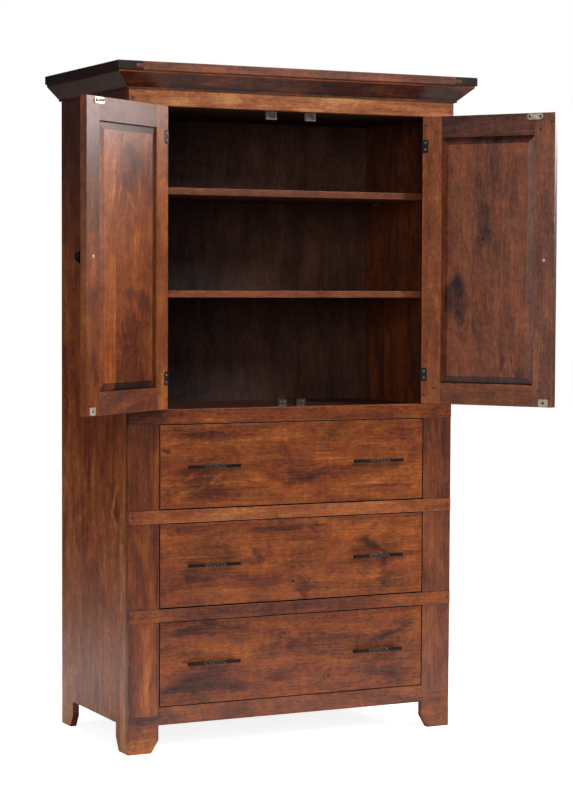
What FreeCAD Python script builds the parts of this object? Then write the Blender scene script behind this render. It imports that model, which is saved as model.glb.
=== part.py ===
"""Armoire with two panelled doors over three drawers, on feet cut from its own boards.

Millimetres. The origin is on the floor, under the middle of the case. X runs to the right,
Y to the back and Z up. The doors stand open: each is drawn closed, from its hinge pin, and
then turned about that pin by its own angle.
"""
import FreeCAD
import Part
import Sketcher
import os
import re

SIZES = {
    # The case
    "case_width": 1062,
    "case_depth": 542,
    "overall_height": 1980,
    "side_thickness": 20,
    "board_thickness": 20,
    "back_thickness": 8,
    "back_inset": 10,
    "floor_drop": 9,
    "bottom_drop": 8,
    "rear_rail_height": 25,
    "corner_block_size": 30,
    "block_floor_gap": 40,
    "edge_ease": 1.5,
    "overrun": 5,
    # The front frame
    "frame_thickness": 22,
    "stile_width": 96,
    "stile_foot_height": 108,
    "rail_height": 38,
    "sill_height": 42.5,
    "rail_proud": 3,
    "lap_depth": 11,
    "drawer_opening_height": 248,
    "top_rail_height": 94,
    "peg_radius": 4,
    "peg_inset": 12,
    "peg_proud": 0.6,
    # The base and its feet
    "base_rail_top": 131.5,
    "arch_height": 80,
    "foot_width": 95,
    "foot_toe_width": 72,
    "foot_chamfer_rise": 38,
    # The top and the crown under it
    "top_thickness": 25,
    "top_side_overhang": 53,
    "top_front_overhang": 54,
    "breadboard_width": 77,
    "breadboard_tongue_length": 20,
    "breadboard_tongue_thickness": 10,
    "crown_height": 49,
    "crown_foot": 8,
    "crown_foot_height": 5,
    "crown_reach": 47,
    "crown_lip_height": 6,
    # The shelves and their pins
    "shelf_thickness": 20,
    "shelf_setback": 45,
    "shelf_gap": 1.5,
    # How far up the door opening each shelf's top lies
    "lower_shelf_share": 0.3933,
    "upper_shelf_share": 0.7359,
    "pin_radius": 2.5,
    "pin_depth": 10,
    "pin_fit": 0.1,
    "pin_inset": 60,
    "spade_length": 12,
    "spade_width": 14,
    "spade_thickness": 3,
    # The doors
    "left_door_angle": 143.5,
    "right_door_angle": 123.7,
    "door_thickness": 21,
    "door_gap": 2.5,
    "meeting_gap": 3,
    "member_width": 64,
    "groove_depth": 10,
    "groove_width": 6.5,
    "tongue_slack": 1.5,
    "tenon_length": 59,
    "tenon_shoulder": 12,
    "bevel_width": 22,
    "field_step": 0.5,
    "field_recess": 0.5,
    "door_peg_radius": 3.5,
    "door_peg_proud": 0.3,
    "outer_peg_inset": 11,
    "outer_peg_drop": 27,
    "inner_peg_inset": 45,
    "inner_peg_drop": 48,
    # The hinges
    "hinge_gap": 2.5,
    "hinge_proud": 4.5,
    "hinge_height": 40,
    "hinge_inset": 88,
    "leaf_thickness": 1,
    "leaf_depth": 18,
    "wrap_width": 21,
    "knuckle_radius": 4,
    "knuckle_clearance": 0.3,
    "hinge_pin_radius": 1.6,
    "hinge_pin_fit": 0.08,
    "hinge_screw_radius": 3.2,
    "hinge_screw_height": 1.4,
    "hinge_screw_spacing": 20,
    # The knobs
    "knob_radius": 20,
    "knob_head_thickness": 20,
    "knob_neck_radius": 7,
    "knob_base_radius": 11,
    "knob_base_thickness": 3,
    "knob_reach": 32,
    "knob_screw_radius": 2,
    "knob_screw_head_radius": 5,
    "knob_screw_head_height": 2.5,
    "knob_screw_grip": 12,
    # The catches and their strikes
    "top_catch_offset": 64.25,
    "top_catch_width": 32,
    "top_catch_height": 24,
    "top_catch_depth": 11,
    "top_catch_setback": 35,
    "top_catch_slot_width": 22,
    "top_catch_slot_height": 15,
    "top_catch_slot_depth": 9,
    "spear_width": 4,
    "spear_height": 7,
    "spear_length": 22,
    "top_strike_width": 50,
    "top_strike_height": 18,
    "top_strike_screw_inset": 8,
    "strike_thickness": 1.2,
    "strike_edge_gap": 1.5,
    "strike_screw_radius": 2.6,
    "bottom_catch_offset": 31,
    "bottom_catch_width": 30,
    "bottom_catch_height": 30,
    "bottom_catch_depth": 14,
    "pole_size": 7,
    "pole_spacing": 12,
    "pole_thickness": 1.5,
    "pole_top_inset": 3,
    "pole_clearance": 0.8,
    "bottom_strike_width": 30,
    "bottom_strike_height": 22,
    # The drawers
    "drawer_gap": 2.5,
    "drawer_front_thickness": 20,
    "drawer_side_thickness": 14,
    "drawer_side_height": 180,
    "drawer_box_depth": 440,
    "drawer_box_lift": 16,
    "drawer_bottom_thickness": 6,
    "drawer_bottom_rise": 10,
    "slide_space": 13,
    "slide_height": 36,
    "slide_lift": 60,
    "slide_depth": 10,
    "slide_wall": 1.2,
    "slide_clearance": 0.3,
    "slide_setback": 3,
    "slide_length": 440,
    "spacer_height": 60,
    # The pulls
    "pull_spacing": 540,
    "pull_length": 164,
    "pull_thickness": 10,
    "pull_standoff": 22,
    "pull_post_spacing": 122,
    "pull_post_radius": 3.5,
    "pull_twist_length": 70,
}
TWIST_STEPS = 12
FULL_TURN = 360
CLOSE = 1e-6

# Planes and levels worked out from the sizes
PLACES = {
    "half_width": "case_width / 2",
    "inner_half": "half_width - side_thickness",
    "half_opening": "half_width - stile_width",
    "front": "-case_depth / 2",
    "back": "case_depth / 2",
    "rail_face": "front - rail_proud",
    "lap_back": "front + lap_depth",
    "frame_back": "front + frame_thickness",
    "back_outer": "back - back_inset",
    "back_inner": "back_outer - back_thickness",
    "case_top": "overall_height - top_thickness",
    "lower_opening": "base_rail_top",
    "lower_rail": "lower_opening + drawer_opening_height",
    "middle_opening": "lower_rail + rail_height",
    "upper_rail": "middle_opening + drawer_opening_height",
    "upper_opening": "upper_rail + rail_height",
    "sill": "upper_opening + drawer_opening_height",
    "door_opening": "sill + sill_height",
    "door_opening_top": "case_top - top_rail_height",
    "bottom_top": "base_rail_top - bottom_drop",
    "bottom_under": "bottom_top - board_thickness",
    "floor_top": "door_opening - floor_drop",
    "crown_bottom": "case_top - crown_height",
    "shelf_front": "front + shelf_setback",
    "shelf_back": "back_inner - shelf_gap",
    # On a door, from its hinge pin
    "hinge_x": "half_opening - hinge_gap / 2",
    "hinge_y": "front - hinge_proud",
    "door_near": "hinge_gap / 2",
    "door_far": "hinge_x - meeting_gap / 2",
    "door_face": "hinge_proud",
    "door_inner": "door_face + door_thickness",
    "door_bottom": "door_opening + door_gap",
    "door_top": "door_opening_top - door_gap",
    "groove_front": "door_face + (door_thickness - groove_width) / 2",
    "groove_back": "groove_front + groove_width",
    "panel_near": "door_near + member_width",
    "panel_far": "door_far - member_width",
    "panel_bottom": "door_bottom + member_width",
    "panel_top": "door_top - member_width",
    "tongue_reach": "groove_depth - tongue_slack",
    "lower_hinge": "door_bottom + hinge_inset",
    "upper_hinge": "door_top - hinge_inset",
    "knob_x": "door_far - member_width / 2",
    "knob_z": "(door_bottom + door_top) / 2",
    "closed_door_back": "front + door_thickness",
    # On a drawer, from the bottom of its opening
    "box_half": "half_opening - slide_space",
    "drawer_front_back": "front + drawer_front_thickness",
    "box_back": "drawer_front_back + drawer_box_depth",
    "slide_inner": "half_opening - slide_depth",
    "slide_front": "frame_back + slide_setback",
}
SIDES = ("left", "right")
SHELVES = ("lower", "upper")
DRAWERS = {"upper": "upper_opening", "middle": "middle_opening", "lower": "lower_opening"}
ALONG = {
    "x": FreeCAD.Rotation(FreeCAD.Vector(0, 1, 0), 90),
    "y": FreeCAD.Rotation(FreeCAD.Vector(1, 0, 0), -90),
    "z": FreeCAD.Rotation(),
}

doc = FreeCAD.newDocument("armoire")
nodes = []


def make_sheet():
    """Keep the driving sizes in a spreadsheet, one named cell each."""
    sheet = doc.addObject("Spreadsheet::Sheet", "dims")
    for row, (name, value) in enumerate(SIZES.items(), 1):
        sheet.set(f"A{row}", name)
        sheet.set(f"B{row}", str(value))
        sheet.setAlias(f"B{row}", name)
    doc.recompute()


def formula(text):
    """Spell a sum of named sizes and places as an expression on the sheet."""

    def spell(match):
        word = match.group(0)
        if word in PLACES:
            return f"({formula(PLACES[word])})"
        return f"dims.{word}" if word in SIZES else word

    return re.sub(r"[a-z][a-z_]*", spell, text)


def bind(thing, prop, text):
    thing.setExpression(prop, formula(text))


def new_body(name):
    return doc.addObject("PartDesign::Body", name)


def node(thing, label):
    """Name a finished sub-part after its file."""
    thing.Label = label
    nodes.append(thing)
    return thing


def gather(name, pieces):
    """Like solids kept together."""
    gathered = doc.addObject("Part::Compound", name)
    gathered.Links = pieces
    return gathered


def group(label, pieces):
    """Like solids that share one node."""
    return node(gather(label, pieces), label)


def box(body, name, x, y, z, cut=False):
    """Add a block to a body, or cut one from it, between pairs of named planes."""
    kind = "SubtractiveBox" if cut else "AdditiveBox"
    block = body.newObject(f"PartDesign::{kind}", name)
    for side, axis, (low, high) in zip(("Length", "Width", "Height"), "xyz", (x, y, z)):
        bind(block, side, f"({high}) - ({low})")
        bind(block, f"Placement.Base.{axis}", low)
    return block


def rod(body, name, axis, start, radius, length, cut=False):
    """Add a round rod to a body, or bore one out of it, from a start point along an axis."""
    kind = "SubtractiveCylinder" if cut else "AdditiveCylinder"
    round_rod = body.newObject(f"PartDesign::{kind}", name)
    round_rod.Placement = FreeCAD.Placement(FreeCAD.Vector(), ALONG[axis])
    bind(round_rod, "Radius", radius)
    bind(round_rod, "Height", length)
    for letter, place in zip("xyz", start):
        bind(round_rod, f"Placement.Base.{letter}", place)
    return round_rod


def board(name, x, y, z):
    """A plain board as a body of its own."""
    body = new_body(name)
    box(body, f"{name}_board", x, y, z)
    return body


def rim(shape, side):
    """The names of a shape's edges that lie on one outer side, such as -y for its front."""
    high = f"{side[1].upper()}Max"
    low = f"{side[1].upper()}Min"
    names = []
    for number, edge in enumerate(shape.Edges, 1):
        if side[0] == "-":
            apart = getattr(edge.BoundBox, high) - getattr(shape.BoundBox, low)
        else:
            apart = getattr(shape.BoundBox, high) - getattr(edge.BoundBox, low)
        if apart < CLOSE:
            names.append(f"Edge{number}")
    return names


def ease(body, sides=None):
    """Round the edges of a body on the sides named, or all its edges."""
    doc.recompute()
    tip = body.Tip
    eased = body.newObject("PartDesign::Fillet", f"{body.Name}_eased")
    if sides:
        eased.Base = (tip, sorted({name for side in sides for name in rim(tip.Shape, side)}))
    else:
        eased.Base = (tip, [""])
        eased.UseAllEdges = True
    bind(eased, "Radius", "edge_ease")
    doc.recompute()
    return body


def outline(body, name, plane, *loops):
    """A sketch of closed straight-sided loops, with each corner held at two named distances."""
    sketch = body.newObject("Sketcher::SketchObject", name)
    planes = {item.Role: item for item in body.Origin.OriginFeatures}
    sketch.AttachmentSupport = (planes[plane], [""])
    sketch.MapMode = "FlatFace"
    up_axis = FreeCAD.Vector(0, 0, 1)
    for loop in loops:
        first = sketch.GeometryCount
        count = len(loop)
        turns = [FreeCAD.Rotation(up_axis, FULL_TURN * i / count) for i in range(count)]
        spots = [turn.multVec(FreeCAD.Vector(1, 0, 0)) for turn in turns]
        for i in range(count):
            sketch.addGeometry(Part.LineSegment(spots[i], spots[(i + 1) % count]))
        for i in range(count):
            following = first + (i + 1) % count
            sketch.addConstraint(Sketcher.Constraint("Coincident", first + i, 2, following, 1))
        for i, (across, up) in enumerate(loop):
            for kind, place, now in (("DistanceX", across, spots[i].x), ("DistanceY", up, spots[i].y)):
                number = sketch.addConstraint(Sketcher.Constraint(kind, first + i, 1, now))
                bind(sketch, f"Constraints[{number}]", place)
    return sketch


def pad(body, sketch, length, symmetric=False, reverse=False):
    solid = body.newObject("PartDesign::Pad", f"{sketch.Name}_pad")
    solid.Profile = sketch
    solid.SideType = "Symmetric" if symmetric else "One side"
    solid.Reversed = reverse
    bind(solid, "Length", length)
    return solid


def pocket_through(body, sketch):
    """Cut a sketch right through its body, both ways from its plane."""
    hole = body.newObject("PartDesign::Pocket", f"{sketch.Name}_pocket")
    hole.Profile = sketch
    hole.SideType = "Symmetric"
    hole.Type = "ThroughAll"
    return hole


def case_span(side, near, far):
    """Two planes of the case on its left or right half, lower one first."""
    return (near, far) if side == "right" else (f"-({far})", f"-({near})")


def door_span(side, near, far):
    """Two planes of a door counted from its hinge pin, lower one first."""
    return (near, far) if side == "left" else (f"-({far})", f"-({near})")


def outward(side, place):
    return place if side == "right" else f"-({place})"


def inward(side, place):
    return place if side == "left" else f"-({place})"


def hang(thing, side, angle=None):
    """Set a piece drawn from its hinge pin in its place, turned open by its door's angle."""
    up_axis = FreeCAD.Vector(0, 0, 1)
    if angle:
        thing.Placement = FreeCAD.Placement(FreeCAD.Vector(), FreeCAD.Rotation(up_axis, 1))
        bind(thing, "Placement.Rotation.Angle", outward(side, angle))
    bind(thing, "Placement.Base.x", outward(side, "hinge_x"))
    bind(thing, "Placement.Base.y", "hinge_y")
    return thing


def make_side_panel(side):
    """A side board with a front and a rear foot, and bores for the shelf pins."""
    body = new_body(f"{side}_side_panel")
    sketch = outline(
        body,
        f"{side}_side_outline",
        "YZ_Plane",
        [
            ("frame_back", "0"),
            ("front + foot_toe_width", "0"),
            ("front + foot_width", "foot_chamfer_rise"),
            ("front + foot_width", "arch_height"),
            ("back - foot_width", "arch_height"),
            ("back - foot_width", "foot_chamfer_rise"),
            ("back - foot_toe_width", "0"),
            ("back", "0"),
            ("back", "case_top"),
            ("frame_back", "case_top"),
        ],
    )
    pad(body, sketch, "side_thickness")
    bind(body, "Placement.Base.x", case_span(side, "inner_half", "half_width")[0])
    ease(body, ("+y",))
    mouth = "side_thickness - pin_depth" if side == "left" else "-overrun"
    for number, (y, z) in enumerate(pin_spots()):
        name = f"{side}_pin_bore_{number}"
        rod(body, name, "x", (mouth, y, z), "pin_radius + pin_fit", "pin_depth + overrun", cut=True)
    node(body, f"{side}_side_panel")


def shelf_top(shelf):
    return f"door_opening + (door_opening_top - door_opening) * {shelf}_shelf_share"


def pin_spots():
    """Where the pins that carry the shelves enter a side board."""
    rows = ("shelf_front + pin_inset", "shelf_back - pin_inset")
    below = "shelf_thickness - spade_thickness / 2"
    return [(y, f"{shelf_top(shelf)} - {below}") for shelf in SHELVES for y in rows]


def make_front_stile(side):
    """A stile notched across its face for the rails that lap over it."""
    body = new_body(f"{side}_front_stile")
    x = case_span(side, "half_opening", "half_width")
    box(body, f"{side}_stile_board", x, ("front", "frame_back"), ("stile_foot_height", "case_top"))
    wide = case_span(side, "half_opening - overrun", "half_width + overrun")
    for name, (low, high) in rail_levels().items():
        notch = (low, f"{high} + overrun" if name == "top_rail" else high)
        box(body, f"{side}_{name}_notch", wide, ("front - overrun", "lap_back"), notch, cut=True)
    node(body, f"{side}_front_stile")


def rail_levels():
    """The underside and the top of each rail that lies across the front."""
    return {
        "top_rail": ("door_opening_top", "case_top"),
        "door_sill_rail": ("sill", "door_opening"),
        "upper_drawer_rail": ("upper_rail", "upper_opening"),
        "lower_drawer_rail": ("lower_rail", "middle_opening"),
    }


def make_front_rails():
    """Rails that stand proud of the stiles, lapped over them and pegged at both ends."""
    pegs = []
    for name, z in rail_levels().items():
        body = new_body(name)
        box(body, f"{name}_face", ("-half_width", "half_width"), ("rail_face", "lap_back"), z)
        middle = ("-half_opening", "half_opening")
        box(body, f"{name}_body", middle, ("front", "frame_back"), z)
        ease(body, ("-y",))
        for side in SIDES:
            across = outward(side, "half_width - peg_inset")
            spot = (across, "rail_face - peg_proud", f"{z[0]} + rail_height / 2")
            length = "lap_back - rail_face + peg_proud"
            rod(body, f"{name}_{side}_peg_hole", "y", spot, "peg_radius", length, cut=True)
            peg = new_body(f"{name}_{side}_peg")
            rod(peg, f"{name}_{side}_peg_rod", "y", spot, "peg_radius", length)
            pegs.append(peg)
        node(body, name)
    group("frame_pegs", pegs)


def make_base_rail():
    """The lowest front board, with the front feet cut from its ends and a seat for each stile."""
    body = new_body("base_rail")
    right_half = [
        ("half_opening", "base_rail_top"),
        ("half_opening", "stile_foot_height"),
        ("half_width", "stile_foot_height"),
        ("half_width", "0"),
        ("half_width - foot_toe_width", "0"),
        ("half_width - foot_width", "foot_chamfer_rise"),
        ("half_width - foot_width", "arch_height"),
    ]
    left_half = [(f"-({x})", z) for x, z in reversed(right_half)]
    sketch = outline(body, "base_rail_outline", "XZ_Plane", right_half + left_half)
    pad(body, sketch, "frame_thickness", reverse=True)
    bind(body, "Placement.Base.y", "front")
    ease(body, ("-y",))
    node(body, "base_rail")


def make_case_boards():
    """The inner boards of the case, its back, and what stiffens it near the floor."""
    inside = ("-inner_half", "inner_half")
    deep = ("frame_back", "back_inner")
    levels = {
        "cabinet_floor": ("floor_top - board_thickness", "floor_top"),
        "case_bottom": ("bottom_under", "bottom_top"),
        "case_ceiling": ("door_opening_top", "door_opening_top + board_thickness"),
    }
    for name, z in levels.items():
        node(board(name, inside, deep, z), name)
    back = board("back_panel", inside, ("back_inner", "back_outer"), ("bottom_under", "case_top"))
    node(back, "back_panel")
    y = ("back_inner - board_thickness", "back_inner")
    rail = board("rear_base_rail", inside, y, ("bottom_under - rear_rail_height", "bottom_under"))
    node(rail, "rear_base_rail")
    blocks = []
    for side in SIDES:
        x = case_span(side, "inner_half - corner_block_size", "inner_half")
        y = ("frame_back", "frame_back + corner_block_size")
        blocks.append(board(f"{side}_corner_block", x, y, ("block_floor_gap", "bottom_under")))
    group("corner_blocks", blocks)


def make_top():
    """The top, tongued at both ends into boards that run from front to back."""
    y = ("front - top_front_overhang", "back")
    z = ("case_top", "overall_height")
    tongue_z = (
        "case_top + (top_thickness - breadboard_tongue_thickness) / 2",
        "case_top + (top_thickness + breadboard_tongue_thickness) / 2",
    )
    end = "half_width + top_side_overhang"
    joint = f"{end} - breadboard_width"
    tip = f"{joint} + breadboard_tongue_length"
    body = board("top_board", (f"-({joint})", joint), y, z)
    ease(body)
    box(body, "top_tongues", (f"-({tip})", tip), y, tongue_z)
    node(body, "top_board")
    for side in SIDES:
        name = f"{side}_breadboard_end"
        body = board(name, case_span(side, joint, end), y, z)
        ease(body)
        run = ("front - top_front_overhang - overrun", "back + overrun")
        box(body, f"{side}_groove", case_span(side, f"{joint} - overrun", tip), run, tongue_z, cut=True)
        node(body, name)


def crown_profile(seat, out_to):
    """The flared crown's section, from its foot on the case up to the lip under the top."""
    return [
        (seat, "crown_bottom"),
        (out_to("crown_foot"), "crown_bottom"),
        (out_to("crown_foot"), "crown_bottom + crown_foot_height"),
        (out_to("crown_reach"), "case_top - crown_lip_height"),
        (out_to("crown_reach"), "case_top"),
        (seat, "case_top"),
    ]


def mitre(side, keep):
    """A triangle that cuts a crown board off at the line through the case's front corner."""
    corner = ("half_width", "front")
    tip = ("half_width + crown_reach + overrun", "front - crown_reach - overrun")
    loop = [corner, tip, (tip[0], corner[1]) if keep == "front" else (corner[0], tip[1])]
    return [(outward(side, x), y) for x, y in loop]


def make_crown():
    """Three crown boards, mitred together at the front corners."""
    body = new_body("crown_front")
    profile = crown_profile("rail_face", lambda out: f"front - {out}")
    section = outline(body, "crown_front_section", "YZ_Plane", profile)
    pad(body, section, "case_width + 2 * crown_reach", symmetric=True)
    cuts = [mitre(side, "front") for side in SIDES]
    pocket_through(body, outline(body, "crown_front_mitres", "XY_Plane", *cuts))
    node(body, "crown_front")
    for side in SIDES:
        name = f"crown_{side}"
        body = new_body(name)
        seat = outward(side, "half_width")
        profile = crown_profile(seat, lambda out: outward(side, f"half_width + {out}"))
        section = outline(body, f"{name}_section", "XZ_Plane", profile)
        bind(section, "AttachmentOffset.Base.z", "crown_reach - front")
        pad(body, section, "case_depth + crown_reach", reverse=True)
        pocket_through(body, outline(body, f"{name}_mitre", "XY_Plane", mitre(side, "side")))
        node(body, name)


def make_shelves():
    """Two loose shelves and the pins that carry them."""
    x = ("-(inner_half - shelf_gap)", "inner_half - shelf_gap")
    for shelf in SHELVES:
        name = f"{shelf}_shelf"
        top = shelf_top(shelf)
        z = (f"{top} - shelf_thickness", top)
        body = board(name, x, ("shelf_front", "shelf_back"), z)
        ease(body, ("-y",))
        node(body, name)
    pins = []
    for side in SIDES:
        stem = case_span(side, "inner_half", "inner_half + pin_depth")
        spade = case_span(side, "inner_half - spade_length", "inner_half")
        for number, (y, z) in enumerate(pin_spots()):
            name = f"{side}_pin_{number}"
            deep = (f"{y} - spade_width / 2", f"{y} + spade_width / 2")
            tall = (f"{z} - spade_thickness / 2", f"{z} + spade_thickness / 2")
            pin = board(name, spade, deep, tall)
            rod(pin, f"{name}_stem", "x", (stem[0], y, z), "pin_radius", "pin_depth")
            pins.append(pin)
    group("shelf_pins", pins)


def door_pegs(side, member, end):
    """The pegs through a corner joint of a door: one near the stile's edge, one further in."""
    spots = []
    for inset in ("outer", "inner"):
        across = f"door_near + {inset}_peg_inset" if member == "hinge" else f"door_far - {inset}_peg_inset"
        up = f"door_top - {inset}_peg_drop" if end == "top" else f"door_bottom + {inset}_peg_drop"
        spots.append((inward(side, across), "door_face - door_peg_proud", up))
    return spots


def make_door_frame(side):
    """Stiles over the door's full height, and rails tenoned into them and pegged."""
    y = ("door_face", "door_inner")
    groove = ("groove_front", "groove_back")
    through = "door_thickness + 2 * door_peg_proud"
    stiles = {
        "hinge": ("door_near", "panel_near", "panel_near - groove_depth", "panel_near + overrun"),
        "meeting": ("panel_far", "door_far", "panel_far - overrun", "panel_far + groove_depth"),
    }
    rails = {
        "top": ("panel_top", "door_top", "panel_top - overrun", "panel_top + groove_depth"),
        "bottom": ("door_bottom", "panel_bottom", "panel_bottom - groove_depth", "panel_bottom + overrun"),
    }
    tenons = {
        "top": ("panel_top + groove_depth", "door_top - tenon_shoulder"),
        "bottom": ("door_bottom + tenon_shoulder", "panel_bottom - groove_depth"),
    }
    haunch = door_span(side, "panel_near - groove_depth", "panel_far + groove_depth")
    reach = door_span(side, "panel_near - tenon_length", "panel_far + tenon_length")
    frame = {}
    for member, (near, far, groove_near, groove_far) in stiles.items():
        name = f"{side}_door_{member}_stile"
        body = board(name, door_span(side, near, far), y, ("door_bottom", "door_top"))
        ease(body, ("-x" if (side == "left") == (member == "hinge") else "+x",))
        run = ("door_bottom - overrun", "door_top + overrun")
        box(body, f"{name}_groove", door_span(side, groove_near, groove_far), groove, run, cut=True)
        for end, z in tenons.items():
            box(body, f"{name}_{end}_mortise", reach, groove, z, cut=True)
        frame[member] = body
    for end, (low, high, groove_low, groove_high) in rails.items():
        name = f"{side}_door_{end}_rail"
        body = board(name, door_span(side, "panel_near", "panel_far"), y, (low, high))
        box(body, f"{name}_haunches", haunch, groove, (low, high))
        box(body, f"{name}_groove", haunch, groove, (groove_low, groove_high), cut=True)
        box(body, f"{name}_tenons", reach, groove, tenons[end])
        frame[end] = body
    pegs = []
    for member in stiles:
        for end in rails:
            for number, spot in enumerate(door_pegs(side, member, end)):
                name = f"{side}_door_{member}_{end}_peg_{number}"
                peg = new_body(name)
                rod(peg, f"{name}_rod", "y", spot, "door_peg_radius", through)
                pegs.append(peg)
                for piece in (member, end):
                    bore = f"{name}_bore_in_{piece}"
                    rod(frame[piece], bore, "y", spot, "door_peg_radius", through, cut=True)
    knob_start = (inward(side, "knob_x"), "door_face - overrun", "knob_z")
    knob_bore = "door_thickness + 2 * overrun"
    bore = f"{side}_door_knob_bore"
    rod(frame["meeting"], bore, "y", knob_start, "knob_screw_radius + pin_fit", knob_bore, cut=True)
    for piece, body in frame.items():
        kind = "stile" if piece in stiles else "rail"
        node(hang(body, side, f"{side}_door_angle"), f"{side}_door_{piece}_{kind}")
    pegs = gather(f"{side}_door_pegs", pegs)
    node(hang(pegs, side, f"{side}_door_angle"), f"{side}_door_pegs")


def make_door_panel(side):
    """A panel raised on both faces, its thin edge loose in the frame's grooves."""
    name = f"{side}_door_panel"
    edge = door_span(side, "panel_near - tongue_reach", "panel_far + tongue_reach")
    tall = ("panel_bottom - tongue_reach", "panel_top + tongue_reach")
    body = board(name, edge, ("groove_front", "groove_back"), tall)
    rim_x = door_span(side, "panel_near", "panel_far")
    field_x = door_span(side, "panel_near + bevel_width", "panel_far - bevel_width")
    rim_z = ("panel_bottom", "panel_top")
    field_z = ("panel_bottom + bevel_width", "panel_top - bevel_width")
    faces = {
        "inner": ("groove_back", "door_inner - field_recess - field_step", "door_inner - field_recess"),
        "outer": ("groove_front", "door_face + field_recess + field_step", "door_face + field_recess"),
    }
    for face, (root, shoulder, field) in faces.items():
        bevel = body.newObject("PartDesign::AdditiveWedge", f"{name}_{face}_bevel")
        wide = (*rim_x, *rim_z)
        narrow = (*field_x, *field_z)
        near, far = (wide, narrow) if face == "inner" else (narrow, wide)
        for prop, place in zip(("Xmin", "Xmax", "Zmin", "Zmax"), near):
            bind(bevel, prop, place)
        for prop, place in zip(("X2min", "X2max", "Z2min", "Z2max"), far):
            bind(bevel, prop, place)
        depth = (root, shoulder) if face == "inner" else (shoulder, root)
        bind(bevel, "Ymin", depth[0])
        bind(bevel, "Ymax", depth[1])
        step = (root, field) if face == "inner" else (field, root)
        box(body, f"{name}_{face}_field", field_x, step, field_z)
    node(hang(body, side, f"{side}_door_angle"), name)


def make_hinges(side):
    """Two hinges a door: a leaf and pin on the stile, and a leaf that wraps the door's edge."""
    case_leaves = []
    door_leaves = []
    sixth = "hinge_height / 6"
    half = "hinge_height / 2"
    for level in ("lower", "upper"):
        centre = f"{level}_hinge"
        tall = (f"{centre} - {half}", f"{centre} + {half}")
        # The leaf on the stile, with the two outer knuckles and the pin
        leaf = new_body(f"{side}_{level}_case_leaf")
        plate = door_span(side, "-door_near", "leaf_thickness - door_near")
        box(leaf, f"{leaf.Name}_plate", plate, ("door_face", "door_face + leaf_depth"), tall)
        for end, (low, high) in {
            "below": (tall[0], f"{centre} - {sixth} - knuckle_clearance / 2"),
            "above": (f"{centre} + {sixth} + knuckle_clearance / 2", tall[1]),
        }.items():
            box(leaf, f"{leaf.Name}_{end}_neck", plate, ("0", "door_face"), (low, high))
            knuckle = f"({high}) - ({low})"
            rod(leaf, f"{leaf.Name}_{end}_knuckle", "z", ("0", "0", low), "knuckle_radius", knuckle)
        rod(leaf, f"{leaf.Name}_pin", "z", ("0", "0", tall[0]), "hinge_pin_radius", "hinge_height")
        case_leaves.append(hang(leaf, side))
        # The leaf that wraps the door's edge, with the middle knuckle and two screws
        leaf = new_body(f"{side}_{level}_door_leaf")
        plate = door_span(side, "door_near - leaf_thickness", "door_near")
        wrap = door_span(side, "door_near - leaf_thickness", "door_near + wrap_width")
        box(leaf, f"{leaf.Name}_plate", plate, ("door_face", "door_inner + leaf_thickness"), tall)
        box(leaf, f"{leaf.Name}_wrap", wrap, ("door_inner", "door_inner + leaf_thickness"), tall)
        middle = (
            f"{centre} - {sixth} + knuckle_clearance / 2",
            f"{centre} + {sixth} - knuckle_clearance / 2",
        )
        box(leaf, f"{leaf.Name}_neck", plate, ("0", "door_face"), middle)
        knuckle = f"({middle[1]}) - ({middle[0]})"
        rod(leaf, f"{leaf.Name}_knuckle", "z", ("0", "0", middle[0]), "knuckle_radius", knuckle)
        for sign in ("-", "+"):
            across = inward(side, "door_near + wrap_width / 2")
            spot = (across, "door_inner", f"{centre} {sign} hinge_screw_spacing / 2")
            height = "leaf_thickness + hinge_screw_height"
            word = "low" if sign == "-" else "high"
            rod(leaf, f"{leaf.Name}_{word}_screw", "y", spot, "hinge_screw_radius", height)
        bore = "hinge_pin_radius + hinge_pin_fit"
        rod(leaf, f"{leaf.Name}_bore", "z", ("0", "0", tall[0]), bore, "hinge_height", cut=True)
        door_leaves.append(leaf)
    leaves = gather(f"{side}_door_hinge_leaves", door_leaves)
    node(hang(leaves, side, f"{side}_door_angle"), f"{side}_door_hinge_leaves")
    return case_leaves


def make_knob(side):
    """A round knob on the outside of the meeting stile, and the screw that holds it."""
    name = f"{side}_door_knob"
    x = inward(side, "knob_x")
    z = "knob_z"
    middle = "door_face - knob_reach + knob_head_thickness / 2"
    knob = new_body(f"{name}_turning")
    base = (x, "door_face - knob_base_thickness", z)
    rod(knob, f"{name}_base", "y", base, "knob_base_radius", "knob_base_thickness")
    neck = "knob_reach - knob_head_thickness / 2"
    rod(knob, f"{name}_neck", "y", (x, middle, z), "knob_neck_radius", neck)
    head = knob.newObject("PartDesign::AdditiveEllipsoid", f"{name}_head")
    head.Placement = FreeCAD.Placement(FreeCAD.Vector(), ALONG["y"])
    bind(head, "Radius1", "knob_head_thickness / 2")
    bind(head, "Radius2", "knob_radius")
    bind(head, "Radius3", "knob_radius")
    for letter, place in zip("xyz", (x, middle, z)):
        bind(head, f"Placement.Base.{letter}", place)
    tip = (x, "door_face - knob_screw_grip", z)
    shank = "knob_screw_grip + door_thickness"
    rod(knob, f"{name}_thread", "y", tip, "knob_screw_radius", shank, cut=True)
    screw = new_body(f"{name}_screw")
    rod(screw, f"{name}_screw_shank", "y", tip, "knob_screw_radius", shank)
    inner = (x, "door_inner", z)
    rod(screw, f"{name}_screw_head", "y", inner, "knob_screw_head_radius", "knob_screw_head_height")
    node(hang(gather(name, [knob, screw]), side, f"{side}_door_angle"), name)


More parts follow.
